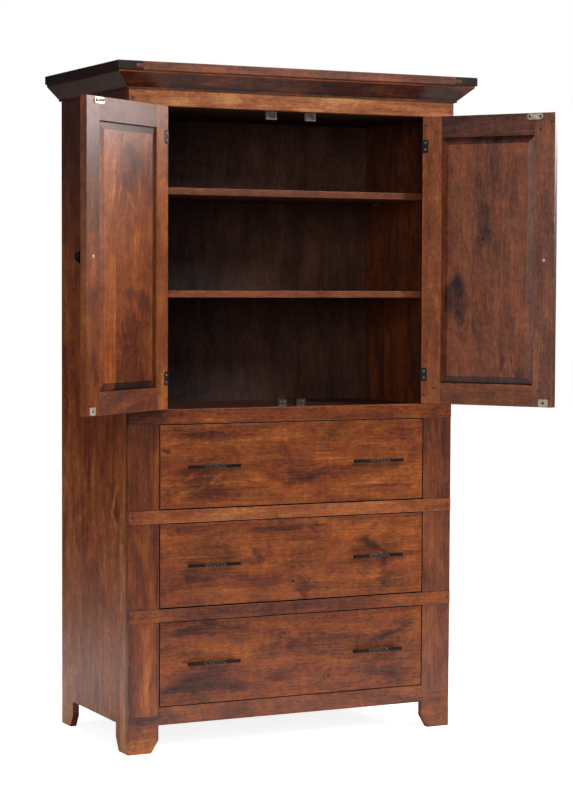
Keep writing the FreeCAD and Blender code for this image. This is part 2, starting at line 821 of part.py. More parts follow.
def make_strikes(side):
    """A spear plate at the top of the door's inner face and a square plate at its foot."""
    name = f"{side}_door_strikes"
    y = ("door_inner", "door_inner + strike_thickness")
    bore_start = "door_inner - overrun"
    bore_length = "strike_thickness + 2 * overrun"
    top_x = "hinge_x - top_catch_offset"
    top_z = "door_top - strike_edge_gap - top_strike_height / 2"
    half = "top_strike_width / 2"
    spread = door_span(side, f"{top_x} - {half}", f"{top_x} + {half}")
    tall = (f"{top_z} - top_strike_height / 2", f"{top_z} + top_strike_height / 2")
    top = board(f"{name}_top_plate", spread, y, tall)
    spear_x = door_span(side, f"{top_x} - spear_width / 2", f"{top_x} + spear_width / 2")
    spear_z = (f"{top_z} - spear_height / 2", f"{top_z} + spear_height / 2")
    box(top, f"{name}_spear", spear_x, ("door_inner", "door_inner + spear_length"), spear_z)
    reach = "top_strike_width / 2 - top_strike_screw_inset"
    for word, sign in (("near", "-"), ("far", "+")):
        spot = (inward(side, f"{top_x} {sign} ({reach})"), bore_start, top_z)
        rod(top, f"{name}_{word}_hole", "y", spot, "strike_screw_radius", bore_length, cut=True)
    low_x = "hinge_x - bottom_catch_offset"
    low_z = "door_bottom + strike_edge_gap + bottom_strike_height / 2"
    half = "bottom_strike_width / 2"
    spread = door_span(side, f"{low_x} - {half}", f"{low_x} + {half}")
    tall = (f"{low_z} - bottom_strike_height / 2", f"{low_z} + bottom_strike_height / 2")
    low = board(f"{name}_low_plate", spread, y, tall)
    spot = (inward(side, low_x), bore_start, low_z)
    rod(low, f"{name}_low_hole", "y", spot, "strike_screw_radius", bore_length, cut=True)
    pair = gather(name, [top, low])
    node(hang(pair, side, f"{side}_door_angle"), name)


def make_catches():
    """Slotted catches under the ceiling for the spears, and pole catches on the floor."""
    catches = []
    poles = []
    for side in SIDES:
        middle = "top_catch_offset"
        x = case_span(side, f"{middle} - top_catch_width / 2", f"{middle} + top_catch_width / 2")
        y = ("front + top_catch_setback", "front + top_catch_setback + top_catch_depth")
        catch = board(f"{side}_top_catch", x, y, ("door_opening_top - top_catch_height", "door_opening_top"))
        half = "top_catch_slot_width / 2"
        slot_x = case_span(side, f"{middle} - {half}", f"{middle} + {half}")
        slot_y = (f"{y[0]} - overrun", f"{y[0]} + top_catch_slot_depth")
        level = "door_top - strike_edge_gap - top_strike_height / 2"
        slot_z = (f"{level} - top_catch_slot_height / 2", f"{level} + top_catch_slot_height / 2")
        box(catch, f"{side}_top_catch_slot", slot_x, slot_y, slot_z, cut=True)
        catches.append(catch)
        middle = "bottom_catch_offset"
        face = "closed_door_back + strike_thickness + pole_clearance"
        x = case_span(side, f"{middle} - bottom_catch_width / 2", f"{middle} + bottom_catch_width / 2")
        y = (f"{face} + pole_thickness", f"{face} + pole_thickness + bottom_catch_depth")
        z = ("floor_top", "floor_top + bottom_catch_height")
        catches.append(board(f"{side}_bottom_catch", x, y, z))
        for word, sign in (("near", "-"), ("far", "+")):
            pole = f"{middle} {sign} pole_spacing / 2"
            pole_x = case_span(side, f"{pole} - pole_size / 2", f"{pole} + pole_size / 2")
            for row in (0, 1):
                top = f"floor_top + bottom_catch_height - pole_top_inset - {row} * pole_spacing"
                pole_y = (face, f"{face} + pole_thickness")
                pole_z = (f"{top} - pole_size", top)
                poles.append(board(f"{side}_{word}_pole_{row}", pole_x, pole_y, pole_z))
    group("door_catches", catches)
    group("catch_poles", poles)


def channel(name, outer, inner, y, z):
    """A slide's channel: a bar hollowed from one side along its whole length."""
    body = board(name, outer, y, z)
    hollow = (f"({z[0]}) + slide_wall", f"({z[1]}) - slide_wall")
    run = (f"({y[0]}) - overrun", f"({y[1]}) + overrun")
    box(body, f"{name}_hollow", inner, run, hollow, cut=True)
    return body


def make_slides():
    """Channels on the case for every drawer, and the spacers behind them."""
    rails = []
    spacers = []
    for drawer, opening in DRAWERS.items():
        level = f"{opening} + drawer_box_lift + slide_lift"
        for side in SIDES:
            z = (f"{level} - slide_height / 2", f"{level} + slide_height / 2")
            y = ("slide_front", "slide_front + slide_length")
            outer = case_span(side, "slide_inner", "half_opening")
            inner = case_span(side, "slide_inner - overrun", "half_opening - slide_wall")
            rails.append(channel(f"{drawer}_{side}_case_slide", outer, inner, y, z))
            x = case_span(side, "half_opening", "inner_half")
            y = ("frame_back", "slide_front + slide_length")
            z = (f"{level} - spacer_height / 2", f"{level} + spacer_height / 2")
            spacers.append(board(f"{drawer}_{side}_spacer", x, y, z))
    group("drawer_slide_rails", rails)
    group("slide_spacers", spacers)


def make_drawer(drawer, opening):
    """A drawer: its face board, the box behind it, its pulls and the slides on its sides."""
    name = f"{drawer}_drawer"
    wide = ("-(half_opening - drawer_gap)", "half_opening - drawer_gap")
    tall = (f"{opening} + drawer_gap", f"{opening} + drawer_opening_height - drawer_gap")
    face = board(f"{name}_front", wide, ("front", "drawer_front_back"), tall)
    ease(face)
    node(face, f"{name}_front")
    base = f"{opening} + drawer_box_lift"
    z = (base, f"{base} + drawer_side_height")
    inside = "box_half - drawer_side_thickness"
    ends = {
        "inner_front": ("drawer_front_back", "drawer_front_back + drawer_side_thickness"),
        "back": ("box_back - drawer_side_thickness", "box_back"),
    }
    box_boards = []
    for side in SIDES:
        x = case_span(side, inside, "box_half")
        box_boards.append(board(f"{name}_{side}_side", x, ("drawer_front_back", "box_back"), z))
    between = (f"-({inside})", inside)
    for end, y in ends.items():
        box_boards.append(board(f"{name}_{end}", between, y, z))
    low = f"{base} + drawer_bottom_rise"
    y = (ends["inner_front"][1], ends["back"][0])
    box_boards.append(board(f"{name}_bottom", between, y, (low, f"{low} + drawer_bottom_thickness")))
    group(f"{name}_box", box_boards)
    level = f"{base} + slide_lift"
    height = "slide_height / 2 - slide_wall - slide_clearance"
    z = (f"{level} - ({height})", f"{level} + ({height})")
    members = []
    for side in SIDES:
        outer = case_span(side, "box_half", "half_opening - slide_wall - slide_clearance")
        inner = case_span(side, "box_half + slide_wall", "half_opening + overrun")
        members.append(channel(f"{name}_{side}_slide", outer, inner, ("slide_front", "box_back"), z))
    group(f"{name}_slides", members)
    middle = f"{opening} + drawer_opening_height / 2"
    group(f"{name}_pulls", [make_pull(f"{name}_{side}_pull", side, middle) for side in SIDES])


def make_pull(name, side, z):
    """A square bar on two posts, with its middle twisted through a full turn."""
    x = outward(side, "pull_spacing / 2")
    y = "front - pull_standoff"
    half = "pull_thickness / 2"
    deep = (f"{y} - {half}", f"{y} + {half}")
    tall = (f"{z} - {half}", f"{z} + {half}")
    pieces = []
    for end, sign in (("left", "-"), ("right", "+")):
        tip = f"{x} {sign} pull_length / 2"
        inner = f"{x} {sign} pull_twist_length / 2"
        arm_x = (tip, inner) if end == "left" else (inner, tip)
        arm = board(f"{name}_{end}_arm", arm_x, deep, tall)
        ease(arm, ("-y",))
        post = (f"{x} {sign} pull_post_spacing / 2", y, z)
        rod(arm, f"{name}_{end}_post", "y", post, "pull_post_radius", "pull_standoff")
        pieces.append(arm)
    sections = []
    for step in range(TWIST_STEPS + 1):
        square = doc.addObject("Part::RegularPolygon", f"{name}_section_{step}")
        square.Polygon = 4
        degrees = FULL_TURN / 8 + FULL_TURN * step / TWIST_STEPS
        turn = FreeCAD.Rotation(FreeCAD.Vector(0, 0, 1), degrees)
        square.Placement = FreeCAD.Placement(FreeCAD.Vector(), ALONG["x"] * turn)
        bind(square, "Circumradius", "pull_thickness / sqrt(2)")
        place = f"{x} - pull_twist_length / 2 + pull_twist_length * {step} / {TWIST_STEPS}"
        for letter, where in zip("xyz", (place, y, z)):
            bind(square, f"Placement.Base.{letter}", where)
        sections.append(square)
    twist = doc.addObject("Part::Loft", f"{name}_twist")
    twist.Sections = sections
    twist.Solid = True
    twist.Ruled = True
    pull = doc.addObject("Part::MultiFuse", name)
    pull.Shapes = [*pieces, twist]
    return pull


def check_and_write():
    """Stop on any failed object or bad solid, then write each sub-part to its own file."""
    doc.recompute()
    for thing in doc.Objects:
        if "Invalid" in thing.State or "Error" in thing.State:
            raise RuntimeError(f"{thing.Label} failed: {thing.State}")
    for thing in nodes:
        shape = thing.Shape
        if shape.isNull() or not shape.isValid() or not shape.Solids:
            raise RuntimeError(f"{thing.Label} has no valid solid")
    os.makedirs("parts", exist_ok=True)
    for thing in nodes:
        thing.Shape.exportStep(f"parts/{thing.Label}.step")
    print(f"{len(nodes)} sub-parts written")


make_sheet()
for hand in SIDES:
    make_side_panel(hand)
    make_front_stile(hand)
make_front_rails()
make_base_rail()
make_case_boards()
make_top()
make_crown()
make_shelves()
make_catches()
hinge_leaves = []
for hand in SIDES:
    make_door_frame(hand)
    make_door_panel(hand)
    hinge_leaves += make_hinges(hand)
    make_knob(hand)
    make_strikes(hand)
group("case_hinge_leaves", hinge_leaves)
make_slides()
for place, bottom in DRAWERS.items():
    make_drawer(place, bottom)
check_and_write()
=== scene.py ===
"""The looks of the tv armoire: lacquered knotty wood, black iron fittings, a studio and its camera."""
import math

import bmesh
import bpy
from mathutils import Matrix, Vector


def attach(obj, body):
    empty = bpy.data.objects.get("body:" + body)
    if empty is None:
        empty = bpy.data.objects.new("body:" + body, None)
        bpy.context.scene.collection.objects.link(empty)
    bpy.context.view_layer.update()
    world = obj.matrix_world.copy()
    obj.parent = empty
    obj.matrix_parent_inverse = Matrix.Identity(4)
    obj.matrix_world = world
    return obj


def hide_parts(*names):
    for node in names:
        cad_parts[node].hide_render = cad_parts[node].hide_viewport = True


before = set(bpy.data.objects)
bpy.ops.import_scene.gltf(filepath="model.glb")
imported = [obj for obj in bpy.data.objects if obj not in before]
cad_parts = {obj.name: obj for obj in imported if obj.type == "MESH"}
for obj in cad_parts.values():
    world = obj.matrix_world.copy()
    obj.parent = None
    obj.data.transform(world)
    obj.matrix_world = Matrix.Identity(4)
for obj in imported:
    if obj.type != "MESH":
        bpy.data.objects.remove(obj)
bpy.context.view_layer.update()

# Sizes in metres, as in the CAD model. What is on a door is measured from its hinge, with the door shut.
HINGES = {"left": (-0.43375, -0.2755, 0), "right": (0.43375, -0.2755, 0)}
DOOR_TURN = {"left": math.radians(-143.5), "right": math.radians(123.7)}
DOOR_SIGN = {"left": 1, "right": -1}
DOOR_FACE = 0.0045
DOOR_INNER = 0.0255
KNOB_ALONG = 0.400
KNOB_Z = 1.4275
FRONT = -0.271
PULL_LEVELS = {"upper": 0.8275, "middle": 0.5415, "lower": 0.2555}
PULL_CENTRE = 0.270
PULL_LENGTH = 0.164
POST_SPACING = 0.122
PULL_BAR = 0.010
PULL_STANDOFF = 0.022
TWIST_LENGTH = 0.070

# Grain directions: along the grain, across it on the show face, and into the wood.
RAIL = ("x", "z", "y")
STILE = ("z", "x", "y")
SIDE = ("z", "y", "x")
TOP = ("x", "y", "z")
DEPTH = ("y", "x", "z")
FRONT_TO_BACK = ("y", "z", "x")


def screen(red, green, blue):
    """A colour as a screen shows it, 0 to 255, turned into the light that Blender mixes."""
    levels = [level / 255 for level in (red, green, blue)]
    light = [v / 12.92 if v <= 0.04045 else ((v + 0.055) / 1.055) ** 2.4 for v in levels]
    return (*light, 1.0)


# Finishes: colours from dark to light, or for metal and plastic the two that they wander between.
LACQUER = (
    (0.00, screen(36, 16, 13)),
    (0.18, screen(67, 31, 22)),
    (0.36, screen(97, 47, 26)),
    (0.50, screen(122, 61, 29)),
    (0.64, screen(144, 75, 33)),
    (0.80, screen(170, 95, 44)),
    (1.00, screen(202, 132, 74)),
)
# The inside boards' colours are darker than the lacquer's: painted shade for the dim inside of the case.
INSIDE_SHADE_STOPS = ((0.0, screen(30, 16, 12)), (0.5, screen(84, 45, 28)), (1.0, screen(132, 78, 48)))
PALE_BOX_WOOD = ((0.0, screen(150, 112, 76)), (0.5, screen(196, 160, 116)), (1.0, screen(222, 192, 150)))
DARK_PEG = ((0.0, screen(28, 16, 13)), (0.5, screen(62, 33, 24)), (1.0, screen(92, 51, 36)))
BLACK_IRON = ((0.0, screen(20, 16, 15)), (1.0, screen(40, 33, 31)))
PULL_IRON = ((0.0, screen(22, 12, 9)), (1.0, screen(42, 27, 21)))
HINGE_IRON = ((0.0, screen(32, 31, 30)), (1.0, screen(58, 56, 54)))
BRIGHT_STEEL = ((0.0, screen(150, 150, 148)), (1.0, screen(196, 196, 192)))
DULL_STEEL = ((0.0, screen(98, 90, 82)), (1.0, screen(128, 119, 109)))
PALE_NICKEL = ((0.0, screen(190, 178, 156)), (1.0, screen(222, 210, 188)))
GREY_PLASTIC = ((0.0, screen(116, 106, 101)), (1.0, screen(139, 129, 123)))
BROWN_PLASTIC = screen(58, 40, 31)
# Pale arrises of the pulls' twists: wear, and a painted highlight.
PULL_WEAR_AND_HIGHLIGHT = screen(204, 166, 150)
HINGE_SCREW = screen(160, 156, 150)
# Painted shade in the deep recesses of the strikes' sunk screws.
RECESS_SHADE_COLOUR = screen(26, 21, 18)

# The colour sockets of Blender's mix node, which have the same names as its others.
MIX_FIRST, MIX_SECOND, MIX_RESULT = 6, 7, 2


class Bench:
    """A node tree, with short ways to add nodes to it and join them."""

    def __init__(self, tree):
        self.tree = tree

    def add(self, kind, inputs=None, **settings):
        """A node of a kind, with its settings and inputs set or joined."""
        node = self.tree.nodes.new(kind)
        for name, value in settings.items():
            setattr(node, name, value)
        self.fill(node, inputs or {})
        return node

    def fill(self, node, inputs):
        """Set or join inputs of a node by their names."""
        for name, value in inputs.items():
            self.feed(node.inputs[name], value)

    def feed(self, socket, value):
        """Join an output to a socket, or set the socket to a plain value."""
        if isinstance(value, bpy.types.NodeSocket):
            self.tree.links.new(value, socket)
        else:
            socket.default_value = value

    def work(self, kind, operation, values):
        """A node that does a sum with numbers or vectors."""
        node = self.add(kind, operation=operation)
        for socket, value in zip(node.inputs, values):
            self.feed(socket, value)
        return node.outputs

    def maths(self, operation, *values):
        return self.work("ShaderNodeMath", operation, values)[0]

    def plus(self, *values):
        return self.maths("ADD", *values)

    def minus(self, *values):
        return self.maths("SUBTRACT", *values)

    def times(self, *values):
        return self.maths("MULTIPLY", *values)

    def vectors(self, operation, *values):
        outputs = self.work("ShaderNodeVectorMath", operation, values)
        return outputs["Value" if operation in ("LENGTH", "DOT_PRODUCT") else "Vector"]

    def coordinates(self, kind):
        return self.add("ShaderNodeTexCoord").outputs[kind]

    def part(self, vector, letter):
        """One coordinate of a vector."""
        return self.add("ShaderNodeSeparateXYZ", {"Vector": vector}).outputs[letter]

    def along(self, letter, value):
        """A vector with a value along one axis and nothing along the others."""
        return self.add("ShaderNodeCombineXYZ", {letter: value}).outputs["Vector"]

    def noise(self, place, stretch, detail=2.0, roughness=0.5, bend=0.0, output="Fac"):
        """Noise over a place that is stretched first, so that it runs with the grain."""
        spread = self.vectors("MULTIPLY", place, stretch)
        wants = {"Vector": spread, "Scale": 1.0, "Detail": detail, "Roughness": roughness, "Distortion": bend}
        return self.add("ShaderNodeTexNoise", wants).outputs[output]

    def swing(self, value, amount):
        """A 0 to 1 value turned into a swing of an amount about zero."""
        return self.times(self.minus(value, 0.5), amount)

    def darken(self, tone, share, depth):
        """A tone made darker by a share of a depth."""
        return self.minus(tone, self.times(share, depth))

    def fade(self, value, start, end, low=0.0, high=1.0):
        """A smooth step from low to high as the value goes from start to end."""
        wants = {"Value": value, "From Min": start, "From Max": end, "To Min": low, "To Max": high}
        return self.add("ShaderNodeMapRange", wants, interpolation_type="SMOOTHSTEP").outputs["Result"]

    def ramp(self, value, stops):
        """A colour ramp with these stops."""
        node = self.add("ShaderNodeValToRGB", {"Fac": value})
        elements = node.color_ramp.elements
        for _ in range(len(stops) - len(elements)):
            elements.new(0.5)
        for element, (spot, colour) in zip(elements, stops):
            element.position = spot
            element.color = colour
        return node.outputs["Color"]

    def mix(self, share, first, second):
        """The first colour with a share of the second mixed in."""
        node = self.add("ShaderNodeMix", data_type="RGBA")
        sockets = (node.inputs["Factor"], node.inputs[MIX_FIRST], node.inputs[MIX_SECOND])
        for socket, value in zip(sockets, (share, first, second)):
            self.feed(socket, value)
        return node.outputs[MIX_RESULT]


VALUE, VECTOR = "NodeSocketFloat", "NodeSocketVector"


def new_group(name, inputs, outputs):
    """An empty node group with its sockets, and the bench, input node and output node to fill it with."""
    tree = bpy.data.node_groups.new(name, "ShaderNodeTree")
    for way, sockets in (("INPUT", inputs), ("OUTPUT", outputs)):
        for socket, kind in sockets.items():
            tree.interface.new_socket(socket, in_out=way, socket_type=kind)
    bench = Bench(tree)
    return tree, bench, bench.add("NodeGroupInput").outputs, bench.add("NodeGroupOutput").inputs


def new_material(name):
    """A material, and the bench and shader to make it with."""
    material = bpy.data.materials.new(name)
    material.use_nodes = True
    return material, Bench(material.node_tree), material.node_tree.nodes["Principled BSDF"]


# Knots, in sizes of the knot: how the grain bends round one, its heart, and the faint rings about it.
BEND_FALL = -0.35
BEND_SHARE = -0.8
HEART_EDGE = (0.1, 0.75)
RING_WAVES = 6.0
RING_EDGE = (-0.4, 0.9)
RING_SHARE = 0.13
RING_REACH = (0.8, 2.6)


def make_knot_group():
    """A knot: the grain runs round it, and its heart is dark with faint rings about it."""
    inputs = {"Place": VECTOR, "Uneven": VECTOR, "Spot": VECTOR, "Size": VECTOR}
    tree, bench, given, result = new_group("knot", inputs, {"Place": VECTOR, "Heart": VALUE})
    away = bench.vectors("SUBTRACT", given["Place"], given["Spot"])
    reach = bench.vectors("LENGTH", bench.vectors("DIVIDE", away, given["Size"]))
    pull = bench.maths("EXPONENT", bench.times(bench.maths("POWER", reach, 2.0), BEND_FALL))
    shift = bench.times(bench.times(bench.part(away, "Y"), pull), BEND_SHARE)
    bench.feed(result["Place"], bench.vectors("ADD", given["Place"], bench.along("Y", shift)))
    ragged = bench.vectors("DIVIDE", bench.vectors("SUBTRACT", given["Uneven"], given["Spot"]), given["Size"])
    reach = bench.vectors("LENGTH", ragged)
    heart = bench.fade(reach, *HEART_EDGE, 1.0, 0.0)
    waves = bench.maths("SINE", bench.times(reach, RING_WAVES))
    rings = bench.fade(waves, *RING_EDGE, 0.0, RING_SHARE)
    rings = bench.times(rings, bench.fade(reach, *RING_REACH, 1.0, 0.0))
    bench.feed(result["Heart"], bench.maths("MAXIMUM", heart, rings))
    return tree


# Where a stain starts to fade and where it ends, in half sizes of the stain.
STAIN_EDGE = (0.45, 1.25)


def make_stain_group():
    """A soft-edged oval that may lean across the grain, for blotches where the stain went in deeper and for
    painted shade and light.
    """
    inputs = {"Place": VECTOR, "Spot": VECTOR, "Reach": VECTOR, "Lean": VALUE}
    tree, bench, given, result = new_group("stain", inputs, {"Depth": VALUE})
    away = bench.vectors("SUBTRACT", given["Place"], given["Spot"])
    rise = bench.times(bench.part(away, "X"), given["Lean"])
    away = bench.vectors("SUBTRACT", away, bench.along("Y", rise))
    reach = bench.vectors("LENGTH", bench.vectors("DIVIDE", away, given["Reach"]))
    bench.feed(result["Depth"], bench.fade(reach, *STAIN_EDGE, 1.0, 0.0))
    return tree


# Noise in wood: its stretch along the grain, across it and into the wood, its detail, roughness and bend.
CLOUDS = ((5.0, 17, 17), 4.0, 0.6, 0.6)
STREAKS = ((6.0, 85, 85), 5.0, 0.7, 0.3)
CURL = ((38, 16, 16), 2.0, 0.5, 0.8)
PORES = ((45, 340, 340), 3.0, 0.6)
FLECKS = ((72, 150, 150), 3.0, 0.6, 0.5)
WOBBLE = ((1.8, 7, 7), 2.0)
DRIFT = ((1.6, 0.4, 0.4), 1.0)
RIPPLE = ((9, 26, 26), 3.0, 0.6)
WARMTH = ((13, 46, 46), 3.0, 0.6)
PORE_SWING = 0.45
FLECK_EDGE = (0.28, 0.72)
# Growth rings: how far the pith wanders across and into the board, and where in a ring its dark late wood is.
WOBBLE_SWING = 0.05
DRIFT_SWING = 0.12
LATE_GROWS = (0.3, 0.9)
LATE_ENDS = (0.9, 1.0)
FIGURE_WORDS = ("blotch", "streak", "curl", "mottle", "rings", "pith", "rise", "slope", "spacing")


def make_figure_group():
    """The figure of a board: growth rings, streaks, curl and uneven stain, as one tone from dark to light."""
    inputs = {"Place": VECTOR, "Seed": VECTOR, "Tone": VALUE}
    inputs.update((word.capitalize(), VALUE) for word in FIGURE_WORDS)
    outputs = {"Tone": VALUE, "Pores": VALUE, "Streaks": VALUE}
    tree, bench, given, result = new_group("wood_figure", inputs, outputs)
    place = bench.vectors("ADD", given["Place"], given["Seed"])
    streaks = bench.noise(place, *STREAKS)
    pores = bench.noise(place, *PORES)
    flecks = bench.fade(bench.noise(place, *FLECKS), *FLECK_EDGE)
    wobble = bench.swing(bench.noise(place, *WOBBLE), WOBBLE_SWING)
    drift = bench.swing(bench.noise(place, *DRIFT), DRIFT_SWING)
    split = bench.add("ShaderNodeSeparateXYZ", {"Vector": given["Place"]}).outputs
    across = bench.plus(bench.minus(split["Y"], given["Pith"]), wobble)
    lift = bench.plus(given["Rise"], bench.times(split["X"], given["Slope"]))
    depth = bench.plus(lift, drift)
    squares = bench.plus(bench.maths("POWER", across, 2.0), bench.maths("POWER", depth, 2.0))
    ring = bench.maths("FRACT", bench.maths("DIVIDE", bench.maths("SQRT", squares), given["Spacing"]))
    late = bench.fade(ring, *LATE_GROWS)
    late = bench.times(late, bench.fade(ring, *LATE_ENDS, 1.0, 0.0))
    tone = bench.plus(given["Tone"], bench.swing(bench.noise(place, *CLOUDS), given["Blotch"]))
    tone = bench.plus(tone, bench.swing(streaks, given["Streak"]))
    tone = bench.plus(tone, bench.swing(bench.noise(place, *CURL), given["Curl"]))
    tone = bench.darken(tone, late, given["Rings"])
    tone = bench.plus(tone, bench.swing(pores, PORE_SWING))
    tone = bench.plus(tone, bench.swing(flecks, given["Mottle"]))
    bench.feed(result["Tone"], tone)
    bench.feed(result["Pores"], pores)
    bench.feed(result["Streaks"], streaks)
    return tree


KNOT = make_knot_group()
STAIN_AND_SHADE_OVAL = make_stain_group()
FIGURE = make_figure_group()

# A board's choices. Tones go from 0, dark, to 1, light. Places are along the grain and across it, in metres.
# A face is told by (way, start, end): the cosines to that way where the choice starts and where it is full.
PLAIN_BOARD = {
    "stops": LACQUER, "door": None,
    # Swings of the tone: uneven stain, streaks, curl and flecks. Then the growth rings.
    "blotch": 0.9, "streak": 0.45, "curl": 0.30, "mottle": 0.17,
    "rings": 0.05, "pith": 0.02, "rise": 0.05, "slope": 0.10, "spacing": 0.011,
    # Knots are (along, across, half length, half width), and glued joints (across, step in tone).
    "knots": (), "joints": (),
    # The range of roughness, the shine, and the places along the grain between which the shine grows.
    "gloss": (0.26, 0.36), "shine": 0.5, "shine_grows": None,
    # How much darker end grain is, and how far across the grain a face is cut where that starts and is full.
    "ends": 0.30, "cut": (0.6, 0.9),
    # Painted shade by facing: (way, start, end, depth), lighter if negative. Gap faces: painted shade, no
    # shine.
    "glaze": (), "raw": None,
    # The swing of the hue, its lean to red, and the share of the colour's strength that is left.
    "hue": 0.035, "redder": 0.0, "wash": 1.0,
}
WHOLE = 9.0  # a reach past the ends of any board
SEED_STEP = (3.71, 1.37, 2.19)
STAIN_DEPTH = 0.72
STAIN_RIPPLE = (0.10, 0.04, 0)
KNOT_RIPPLE = (0.15, 0.3, 0)
KNOT_DEPTH = 0.42
BOARD_APART = 1.0
BOARD_SHIFT = 2.3
GLUE_LINE = 0.0016
GLUE_DEPTH = 0.14
# How dark the painted shade on a gap face is.
GAP_SHADE_DEPTH = 0.8
DULL_SHINE = 0.15
ARRIS = 0.0012
ARRIS_SAMPLES = 4
WOOD_BUMP = {"Strength": 0.10, "Distance": 0.0006}
STREAK_EDGE = (0.2, 0.8)
MIDDLE_HUE = 0.5
LACQUER_IOR = 1.5


def grain_place(bench, grain, door):
    """Object coordinates with X along the grain and Y across it; a door's are as if it were shut."""
    where = bench.coordinates("Object")
    if door:
        turn = {"Vector": where, "Location": HINGES[door], "Rotation": (0, 0, DOOR_TURN[door])}
        where = bench.add("ShaderNodeMapping", turn, vector_type="TEXTURE").outputs["Vector"]
    split = bench.add("ShaderNodeSeparateXYZ", {"Vector": where}).outputs
    order = dict(zip("XYZ", (split[letter.upper()] for letter in grain)))
    return bench.add("ShaderNodeCombineXYZ", order).outputs["Vector"]


def bend_round_knots(bench, face, ripple, knots):
    """The grain bent round the knots, and how far a point is in the heart of one."""
    uneven = bench.vectors("ADD", face, bench.vectors("MULTIPLY", ripple, KNOT_RIPPLE))
    bent, hearts = face, 0.0
    for along, across, length, width in knots:
        wants = {"Place": bent, "Uneven": uneven, "Spot": (along, across, 0), "Size": (length, width, WHOLE)}
        knot = bench.add("ShaderNodeGroup", wants, node_tree=KNOT).outputs
        bent = knot["Place"]
        hearts = bench.maths("MAXIMUM", hearts, knot["Heart"])
    return bent, hearts


def glue_up(bench, place, stained, tone, joints):
    """Boards glued edge to edge: past a joint the grain starts afresh, blotches stop and the tone steps."""
    across = bench.part(place, "Y")
    for number, (joint, step) in enumerate(joints, 1):
        past = bench.maths("GREATER_THAN", across, joint)
        jump = bench.along("X", bench.times(past, BOARD_SHIFT * number))
        place = bench.vectors("ADD", place, jump)
        aside = bench.along("Y", bench.times(past, BOARD_APART))
        stained = bench.vectors("ADD", stained, aside)
        tone = bench.plus(tone, bench.times(past, step))
        off_line = bench.maths("ABSOLUTE", bench.minus(across, joint))
        tone = bench.minus(tone, bench.fade(off_line, 0.0, GLUE_LINE, GLUE_DEPTH, 0.0))
    return place, stained, tone


def add_stains_and_shade(bench, stained, tone, stains_and_shade, joints):
    """The tone with each oval in it, stains and painted shade and light, each on its own one of the glued
    boards.
    """
    for along, across, length, width, depth, *lean in stains_and_shade:
        across += BOARD_APART * sum(joint < across for joint, _ in joints)
        wants = {"Place": stained, "Spot": (along, across, 0), "Reach": (length, width, WHOLE)}
        wants["Lean"] = lean[0] if lean else 0.0
        stain = bench.add("ShaderNodeGroup", wants, node_tree=STAIN_AND_SHADE_OVAL).outputs["Depth"]
        tone = bench.darken(tone, stain, depth * STAIN_DEPTH)
    return tone


def draw_figure(bench, bent, tone, board):
    """The board's own figure on a tone."""
    wants = {"Place": bent, "Seed": tuple(board["seed"] * step for step in SEED_STEP), "Tone": tone}
    wants.update((word.capitalize(), board[word]) for word in FIGURE_WORDS)
    return bench.add("ShaderNodeGroup", wants, node_tree=FIGURE).outputs


def end_grain(bench, axis, cut):
    """How far the surface is cut across the grain, where the open fibres drink more stain."""
    across = bench.part(bench.coordinates("Normal"), axis.upper())
    return bench.fade(bench.maths("ABSOLUTE", across), *cut)


def facing(bench, way, start, end):
    """How far the surface faces a way, as its cosine goes from a start to an end."""
    return bench.fade(bench.vectors("DOT_PRODUCT", bench.coordinates("Normal"), way), start, end)


def darken_faces(bench, tone, board):
    """The tone with its end grain, and with painted shade on faces by the way they face."""
    along = board["grain"][0]
    # A door's normals are those of the open door, so only its upright boards can show end grain this way.
    if board["ends"] and (along == "z" or not board["door"]):
        tone = bench.darken(tone, end_grain(bench, along, board["cut"]), board["ends"])
    # Painted shade by facing, and painted light where the depth is negative.
    for way, start, end, depth in board["glaze"]:
        tone = bench.darken(tone, facing(bench, way, start, end), depth)
    return tone


